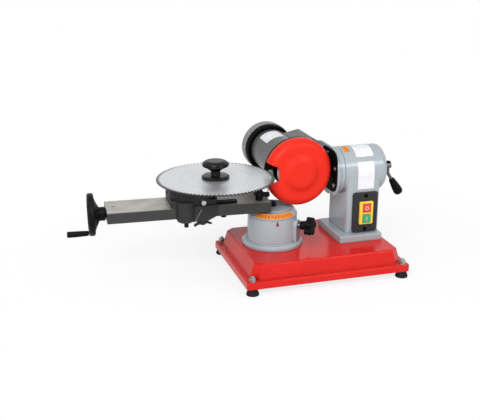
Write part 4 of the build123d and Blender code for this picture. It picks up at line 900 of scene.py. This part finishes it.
def floor_material():
    """Pale floor that the camera sees as white, with the object's shadow kept near it."""
    made = Surface("pale_floor", (0.86, 0.86, 0.86), 0.9)
    path = made.add("ShaderNodeLightPath").outputs
    plain = made.limits(made.vector("LENGTH", "Value", made.place), FLOOR_FADE, (0.8, 1.0))
    white = made.add("ShaderNodeEmission", Strength=1.0)
    seen = made.math("MAXIMUM", path["Is Camera Ray"], path["Is Glossy Ray"])
    seen = made.math("MAXIMUM", seen, path["Is Transmission Ray"])
    both = made.add("ShaderNodeMixShader")
    made.put(made.math("MULTIPLY", seen, plain), both.inputs[0])
    made.put(made.shader.outputs[0], both.inputs[1])
    made.put(white.outputs[0], both.inputs[2])
    made.put(both.outputs[0], made.tree.nodes["Material Output"].inputs[0])
    return made.material


def add_floor():
    mesh = bpy.data.meshes.new("floor")
    half = FLOOR_SIZE / 2
    corners = [(-half, -half, 0), (half, -half, 0), (half, half, 0), (-half, half, 0)]
    mesh.from_pydata(corners, [], [(0, 1, 2, 3)])
    mesh.materials.append(floor_material())
    floor = bpy.data.objects.new("floor", mesh)
    bpy.context.scene.collection.objects.link(floor)


def add_world():
    """Even white light all round, and plain white where the camera or a reflection looks past the object."""
    world = bpy.data.worlds.new("studio")
    world.use_nodes = True
    tree = world.node_tree
    path = tree.nodes.new("ShaderNodeLightPath").outputs
    level = tree.nodes.new("ShaderNodeMapRange")
    level.inputs["To Min"].default_value = WORLD_LIGHT
    level.inputs["To Max"].default_value = 1.0
    seen = path["Is Camera Ray"]
    for kind in ("Is Glossy Ray", "Is Transmission Ray"):
        either = tree.nodes.new("ShaderNodeMath")
        either.operation = "MAXIMUM"
        tree.links.new(seen, either.inputs[0])
        tree.links.new(path[kind], either.inputs[1])
        seen = either.outputs[0]
    tree.links.new(seen, level.inputs["Value"])
    tree.links.new(level.outputs[0], tree.nodes["Background"].inputs["Strength"])
    tree.nodes["Background"].inputs["Color"].default_value = (1, 1, 1, 1)
    bpy.context.scene.world = world


def add_lamp(name, place, target, size, power):
    data = bpy.data.lights.new(name, "AREA")
    data.shape = "RECTANGLE"
    data.size, data.size_y = size
    data.energy = power
    lamp = bpy.data.objects.new(name, data)
    lamp.location = place
    lamp.rotation_mode = "QUATERNION"
    lamp.rotation_quaternion = (Vector(target) - Vector(place)).to_track_quat("-Z", "Y")
    bpy.context.scene.collection.objects.link(lamp)


def add_camera():
    data = bpy.data.cameras.new("photo_camera")
    data.sensor_width = SENSOR_WIDTH
    data.sensor_fit = "HORIZONTAL"
    data.lens = CAMERA_LENS
    camera = bpy.data.objects.new("photo_camera", data)
    camera.location = CAMERA_PLACE
    camera.rotation_euler = (math.pi / 2 - CAMERA_DIP, 0, -CAMERA_TURN)
    bpy.context.scene.collection.objects.link(camera)
    bpy.context.scene.camera = camera


add_floor()
add_world()
add_lamp("key", place=(-1.1, -1.6, 1.6), target=(0, 0, 0.15), size=(1.2, 0.9), power=40)
add_lamp("fill", place=(0.95, -1.6, 1.25), target=(0, 0, 0.15), size=(0.9, 0.35), power=12)
add_lamp("top", place=(-0.6, -0.2, 1.9), target=(0, 0, 0.1), size=(1.4, 1.0), power=6)
add_camera()
bpy.context.scene.view_settings.view_transform = "Standard"
